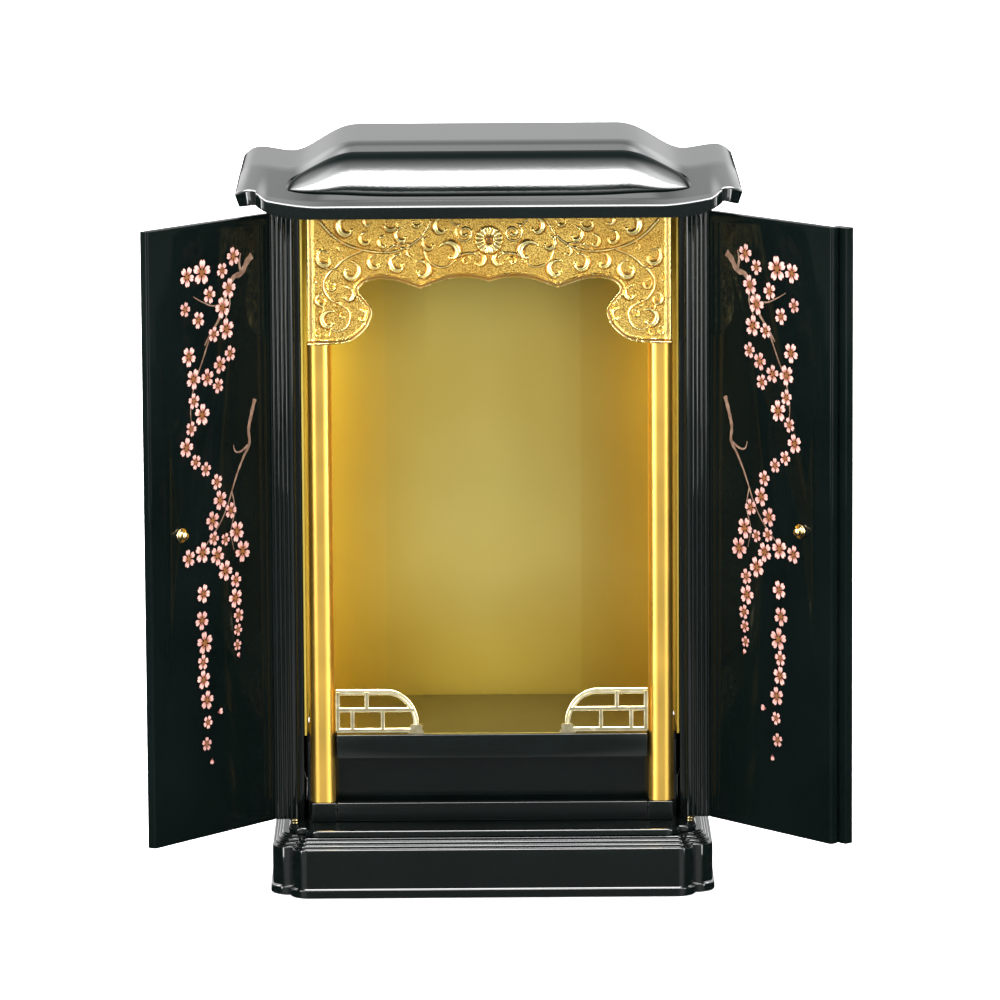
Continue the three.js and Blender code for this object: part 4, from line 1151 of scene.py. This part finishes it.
# guides along which blossoms gather: bends, count, side reach, first and last size
sprays = [
    ([(37, 321), (24, 318)], 2, 3.0, 11.0, 9.0),
    ([(62, 320), (50, 312), (38, 303), (32, 309)], 6, 4.0, 12.0, 12.5),
    ([(62, 296), (48, 292), (36, 285), (34, 272)], 6, 4.5, 10.0, 11.5),
    ([(60, 278), (58, 268), (48, 262), (40, 262)], 6, 3.6, 14.5, 9.0),
    ([(62, 252), (56, 246), (59, 236), (54, 226)], 5, 4.0, 11.0, 10.5),
    ([(50, 219), (42, 212), (38, 202), (30, 198)], 5, 3.4, 9.5, 10.5),
    ([(52, 192), (42, 186), (32, 186), (28, 178)], 7, 4.6, 9.5, 11.5),
    ([(58, 178), (48, 172), (38, 172), (30, 166)], 6, 4.2, 10.5, 11.0),
    ([(53, 160), (55, 144), (53, 128), (53, 112), (51, 98), (51, 80)], 9, 1.8, 12.5, 8.5),
    ([(28, 158), (27, 148), (28, 140), (27.5, 128)], 5, 1.4, 9.0, 6.5),
]
# place and length
loosePetals = [(25.5, 121, 3.6), (43, 96, 4.6), (47, 74, 3.8)]
# one notched petal along +x, of length 1
petalHalf = 0.315
petalEdge = ((0.1, 0.03), (0.24, 0.1), (0.42, 0.22), (0.6, 0.3), (0.79, petalHalf), (0.94, 0.23), (1.0, 0.11))
petalOutline = [(x, -y) for x, y in petalEdge] + [(0.85, 0.0)] + list(petalEdge[::-1])
# stamens and the round middle, as shares of the flower's radius
stamen = {"spread": 0.22, "short": 0.44, "long": 0.52, "half": 0.03, "knot": 0.045, "rise": 0.004}
heart = {"radius": 0.23, "sides": 10, "rise": 0.006}


def flatRibbon(bends, wide, narrow, steps=40):
    path = smoothPath(bends, steps)
    along = np.gradient(path, axis=0)
    along /= np.linalg.norm(along, axis=1)[:, None]
    normal = np.column_stack([-along[:, 1], along[:, 0]])
    waver = painting["waver"] * np.sin(np.arange(len(path)) * painting["waverPitch"])
    widths = np.linspace(wide, narrow, len(path)) * (1 + waver)
    reach = normal * widths[:, None] / 2
    vertices = [(x, y, 0.0) for pair in zip(path + reach, path - reach) for x, y in pair]
    faces = [(2 * i, 2 * i + 1, 2 * i + 3, 2 * i + 2) for i in range(len(path) - 1)]
    return vertices, faces


def drawShape(drawing, points, marks, kind, turn=0.0, rise=0.0):
    # adds a flat shape, turned about the middle; marks are what the paint reads along and across a petal
    c, s = math.cos(turn), math.sin(turn)
    start = len(drawing["vertices"])
    drawing["vertices"] += [(x * c - y * s, x * s + y * c, rise) for x, y in points]
    drawing["along"] += [along for along, _ in marks]
    drawing["across"] += [across for _, across in marks]
    drawing["kind"] += [kind] * len(points)
    return start


def drawPetal(drawing, turn, points, middle=(0.6, 0.0)):
    start = drawShape(drawing, [middle] + points, [(x, y / petalHalf) for x, y in [middle] + points], 0.0, turn)
    count = len(points)
    drawing["faces"] += [(start, start + 1 + i, start + 1 + (i + 1) % count) for i in range(count)]
    return start


def newDrawing():
    return {name: [] for name in ("vertices", "faces", "along", "across", "kind")}


def drawingObject(name, drawing, scale=1.0):
    obj = meshObject(name, [np.array(v) * scale for v in drawing["vertices"]], drawing["faces"])
    for mark in ("along", "across", "kind"):
        addAttribute(obj.data, mark, drawing[mark])
    return obj


def makeBlossomShape():
    # flat five-petal flower of radius 1 with a round middle and stamens
    flower = newDrawing()
    for k in range(painting["petals"]):
        turn = 2 * math.pi * k / painting["petals"]
        drawPetal(flower, turn, petalOutline)
        for spread in (-stamen["spread"], 0.0, stamen["spread"]):
            tip, half, knot = stamen["short"] if spread else stamen["long"], stamen["half"], stamen["knot"]
            stalk = [(0.1, -half), (tip, -half), (tip, half), (0.1, half)]
            for shape in (stalk, [(tip, -knot), (tip + 0.08, 0.0), (tip, knot), (tip - 0.05, 0.0)]):
                start = drawShape(flower, shape, [(0.5, 0.0)] * 4, 1.0, turn + spread, stamen["rise"])
                flower["faces"].append(tuple(range(start, start + 4)))
    sides = heart["sides"]
    angles = [2 * math.pi * i / sides for i in range(sides)]
    ring = [(heart["radius"] * math.cos(a), heart["radius"] * math.sin(a)) for a in angles]
    start = drawShape(flower, ring, [(0.0, 0.0)] * sides, 1.0, 0.0, heart["rise"])
    flower["faces"].append(tuple(range(start, start + sides)))
    return drawingObject("blossomShape", flower)


def makeScatterTree():
    # blossoms on points: each point carries its size, turn and layer
    tree, given, out = nodeGroup("blossomScatter", "GeometryNodeTree", (
        ("Geometry", "Geometry", None), ("Blossom", "Object", None), ("Size spread", "Float", painting["sizeSpread"]),
        ("Layer", "Float", 1e-5), ("Seed", "Int", painting["seed"]), ("Paint", "Material", None),
    ), ("Geometry", "Geometry"))

    def add(kind, inputs, **settings):
        return wire(tree, "GeometryNode" + kind, inputs, **settings)[0]

    def combine(values):
        return wire(tree, "ShaderNodeCombineXYZ", values)[0]

    def draw(values):
        return wire(tree, "FunctionNodeRandomValue", {**values, "Seed": given["Seed"]}, data_type="FLOAT")["Value"]

    size, turn = (
        wire(tree, "GeometryNodeInputNamedAttribute", {"Name": name}, data_type="FLOAT")["Attribute"]
        for name in ("bloomSize", "bloomTurn")
    )
    least, most = (calculate(tree, way, 1.0, given["Size spread"]) for way in ("SUBTRACT", "ADD"))
    layer = calculate(tree, "MULTIPLY", add("InputIndex", {}), given["Layer"])
    points = add("MeshToPoints", {"Mesh": given["Geometry"]})
    placed = add("InstanceOnPoints", {
        "Points": add("SetPosition", {"Geometry": points, "Offset": combine({"Z": layer})}),
        "Instance": wire(tree, "GeometryNodeObjectInfo", {"Object": given["Blossom"]})["Geometry"],
        "Rotation": wire(tree, "FunctionNodeEulerToRotation", {0: combine({"Z": turn})})[0],
        "Scale": calculate(tree, "MULTIPLY", size, draw({"Min": least, "Max": most})),
    })
    tinted = {"Geometry": placed, "Name": "tint", "Value": draw({})}
    kept = add("StoreNamedAttribute", tinted, data_type="FLOAT", domain="INSTANCE")
    real = add("RealizeInstances", {0: kept})
    feed(tree, out, {"Geometry": add("SetMaterial", {"Geometry": real, "Material": given["Paint"]})})
    return tree


def layOnDoor(obj, side, lift):
    # flat drawing (x along the leaf from its hinge corner, y up) onto a door's inner face
    turn = side * math.radians(door["open"])
    along = Vector((-side * math.cos(turn), -side * math.sin(turn), 0))
    outward = Vector((-math.sin(turn), math.cos(turn), 0))
    start = Vector((*doorPoint(side, cornerP, innerQ + lift), 0)) * mm
    matrix = Matrix((along, Vector((0, 0, 1)), outward)).transposed().to_4x4()
    obj.data.transform(Matrix.Translation(start) @ matrix)
    if side < 0:
        obj.data.flip_normals()


def blossomPlaces():
    rng = np.random.default_rng(painting["seed"])
    placed = []
    for bends, count, reach, first, last in sprays:
        path = smoothPath(bends, painting["pathSteps"])
        for k in range(count):
            size = blend(first, last, k / max(count - 1, 1)) * rng.uniform(*painting["sizes"])
            for _ in range(painting["tries"]):
                t = (k + 0.5 + rng.uniform(-0.5, 0.5)) / count
                spot = path[int(min(max(t, 0), 1) * painting["pathSteps"])]
                x, y = spot + rng.uniform(-reach, reach, 2) * painting["stray"]
                if all(math.hypot(x - a, y - b) > painting["apart"] * (size + s) for a, b, s, _ in placed):
                    placed.append((x, y, size, rng.uniform(0, 2 * math.pi)))
                    break
    return placed


def paintBlossoms(hand, places, shape, tree):
    points = meshObject(f"{hand}_blossoms", [(x * mm, y * mm, 0) for x, y, *_ in places], [])
    addAttribute(points.data, "bloomSize", [size / 2 * mm for _, _, size, _ in places])
    addAttribute(points.data, "bloomTurn", [turn for *_, turn in places])
    ids = {item.name: item.identifier for item in tree.interface.items_tree if item.in_out == "INPUT"}
    scatter = points.modifiers.new("scatter", "NODES")
    scatter.node_group = tree
    scatter[ids["Blossom"]] = shape
    scatter[ids["Seed"]] = painting["seed"]
    scatter[ids["Layer"]] = painting["layer"] * mm
    scatter[ids["Paint"]] = blossomPaint
    applyModifiers(points)
    return points


def paintBranches(hand):
    vertices, faces = [], []
    for bends, wide, narrow in branches:
        some, more = flatRibbon(bends, wide, narrow)
        faces += [tuple(i + len(vertices) for i in f) for f in more]
        vertices += some
    return meshObject(f"{hand}_branches", [np.array(v) * mm for v in vertices], faces)


def paintLoosePetals(hand):
    loose = newDrawing()
    petal = [(x * painting["looseLength"], y) for x, y in petalOutline]
    for k, (x, y, size) in enumerate(loosePetals):
        start = drawPetal(loose, painting["looseTurn"] + painting["looseTurnStep"] * k, petal, (0.5, 0.0))
        loose["vertices"][start:] = [(x + size * px, y + size * py, 0.0) for px, py, _ in loose["vertices"][start:]]
    obj = drawingObject(f"{hand}_loose_petals", loose, mm)
    addAttribute(obj.data, "tint", np.full(len(loose["kind"]), painting["looseTint"]))
    return obj


def makePainting():
    shape, tree, places = makeBlossomShape(), makeScatterTree(), blossomPlaces()
    for side, hand in hands:
        for obj, lift, finish in (
            (paintBlossoms(hand, places, shape, tree), painting["bloomLift"], blossomPaint),
            (paintBranches(hand), painting["lift"], branchPaint),
            (paintLoosePetals(hand), painting["bloomLift"], blossomPaint),
        ):
            layOnDoor(obj, side, lift)
            place(obj, finish, None, f"{hand}_door")
    bpy.data.objects.remove(shape)
    print("blossoms painted,", len(places), "on each door")


makePainting()


# camera and light, in metres
view = {
    "place": (-0.0091, -3.6479, 0.7859), "yaw": 0.22, "pitch": 9.3, "roll": -0.34, "lens": 262.8, "sensor": 36,
    "reach": 30,
}


def makeCamera():
    yaw, pitch, roll = (math.radians(view[k]) for k in ("yaw", "pitch", "roll"))
    forward = Vector((math.sin(yaw) * math.cos(pitch), math.cos(yaw) * math.cos(pitch), -math.sin(pitch)))
    level = forward.cross(Vector((0, 0, 1))).normalized()
    up = level.cross(forward)
    right = level * math.cos(roll) + up * math.sin(roll)
    upright = up * math.cos(roll) - level * math.sin(roll)
    data = bpy.data.cameras.new("photoView")
    data.lens = view["lens"]
    data.sensor_width = view["sensor"]
    data.clip_end = view["reach"]
    camera = addObject("photoView", data)
    turn = Matrix((right, upright, -forward)).transposed().to_4x4()
    camera.matrix_world = Matrix.Translation(Vector(view["place"])) @ turn
    bpy.context.scene.camera = camera


room = {
    "backdrop": 1.0, "above": 0.6, "front": 1.0, "below": 1.1, "belowSides": 0.02,
    # behind the cabinet: sine of the height, then brightness
    "backSteps": (
        (0.0, 0.68), (0.3, 0.74), (0.43, 0.68), (0.49, 0.85), (0.56, 1.7), (0.645, 2.2), (0.67, 3.0), (0.71, 7.0),
        (0.82, 7.0), (0.93, 0.5), (1.0, 0.4),
    ),
    "backPeak": 8.0, "backSides": 3.4,
    # where one light passes into the next, along each axis
    "flanks": (0.08, 0.3), "ahead": (0.25, 0.6), "turn": (0.0, 0.25), "under": (-0.8, -0.45), "horizon": (-0.03, 0.0),
    "dark": 0.36, "darkAxis": (0.0, -0.987, -0.162), "darkWithin": (0.93, 0.975),
}


def makeRoom():
    # pale studio, dark only in the narrow cone straight in front and below the sides
    world = bpy.data.worlds.new("studio")
    bpy.context.scene.world = world
    world.use_nodes = True
    tree = world.node_tree
    way = wire(tree, "ShaderNodeTexCoord")["Generated"]
    split = wire(tree, "ShaderNodeSeparateXYZ", {0: way})

    def share(value, fromLow, fromHigh, low, high):
        return mapRange(tree, value, low, high, fromLow, fromHigh, interpolation_type="SMOOTHSTEP")

    peak = room["backPeak"]
    climb = colourRamp(tree, split["Z"], [(at, (value / peak,) * 3) for at, value in room["backSteps"]])
    flanks = share(calculate(tree, "ABSOLUTE", split["X"]), *room["flanks"], peak, peak * room["backSides"])
    behind = calculate(tree, "MULTIPLY", climb, flanks)
    ahead = share(split["Z"], *room["ahead"], room["front"], room["above"])
    upper = share(split["Y"], *room["turn"], ahead, behind)
    lower = share(split["Y"], *room["under"], room["below"], room["belowSides"])
    whole = share(split["Z"], *room["horizon"], lower, upper)
    axis = wire(tree, "ShaderNodeVectorMath", {0: way, 1: room["darkAxis"]}, operation="DOT_PRODUCT")["Value"]
    feed(tree, tree.nodes["Background"], {
        "Strength": share(axis, *room["darkWithin"], whole, room["dark"]), "Color": (1, 1, 1, 1),
    })
    backdrop = wire(tree, "ShaderNodeBackground", {"Color": (1, 1, 1, 1), "Strength": room["backdrop"]})[0]
    seen = wire(tree, "ShaderNodeLightPath")["Is Camera Ray"]
    around = tree.nodes["Background"].outputs[0]
    feed(tree, tree.nodes["World Output"], {
        "Surface": wire(tree, "ShaderNodeMixShader", {"Fac": seen, 1: around, 2: backdrop})[0],
    })


# softboxes: name, place, size, power, aim, seen in gloss only
softboxes = (
    ("left", (-1.5, -1.6, 0.9), (0.9, 1.6), 38, (0, 0, 0.2), False),
    ("right", (1.5, -1.6, 0.9), (0.9, 1.6), 30, (0, 0, 0.2), False),
    ("top", (0.0, -0.5, 1.9), (1.8, 1.2), 30, (0, 0, 0.2), False),
    ("band", (0.0, 1.24, 2.15), (3.0, 0.86), 170, (0, 1.24, 0), True),
    ("edge", (0.0, -0.53, 2.2), (2.4, 1.45), 480, (0, -0.53, 0), True),
    ("leftStrip", (-2.0, -1.5, 0.9), (0.35, 2.2), 55, (0, 0, 0.3), True),
    ("rightStrip", (2.0, -1.5, 0.9), (0.35, 2.2), 40, (0, 0, 0.3), True),
)


def makeLights():
    for name, spot, size, power, target, onlyGloss in softboxes:
        data = bpy.data.lights.new("softbox_" + name, "AREA")
        data.shape = "RECTANGLE"
        data.size, data.size_y = size
        data.energy = power
        lamp = addObject("softbox_" + name, data)
        lamp.location = spot
        lamp.rotation_euler = (Vector(target) - Vector(spot)).to_track_quat("-Z", "Y").to_euler()
        lamp.visible_diffuse = not onlyGloss
        lamp.visible_camera = False


sheet = {"half": 6.0, "tone": (0.93, 0.93, 0.93, 1), "roughness": 0.9, "drop": 0.0003}


def makeFloor():
    size = sheet["half"]
    corners = [(-size, -size, 0), (size, -size, 0), (size, size, 0), (-size, size, 0)]
    floor = meshObject("studio_floor", corners, [(0, 1, 2, 3)])
    material, tree = newMaterial("paleFloor")
    shade(tree, {"Base Color": sheet["tone"], "Roughness": sheet["roughness"]})
    floor.data.materials.append(material)
    floor.location.z = -sheet["drop"]
    floor.visible_glossy = False


makeCamera()
makeRoom()
makeLights()
makeFloor()
bpy.context.scene.view_settings.view_transform = "Standard"
print("camera and studio made")
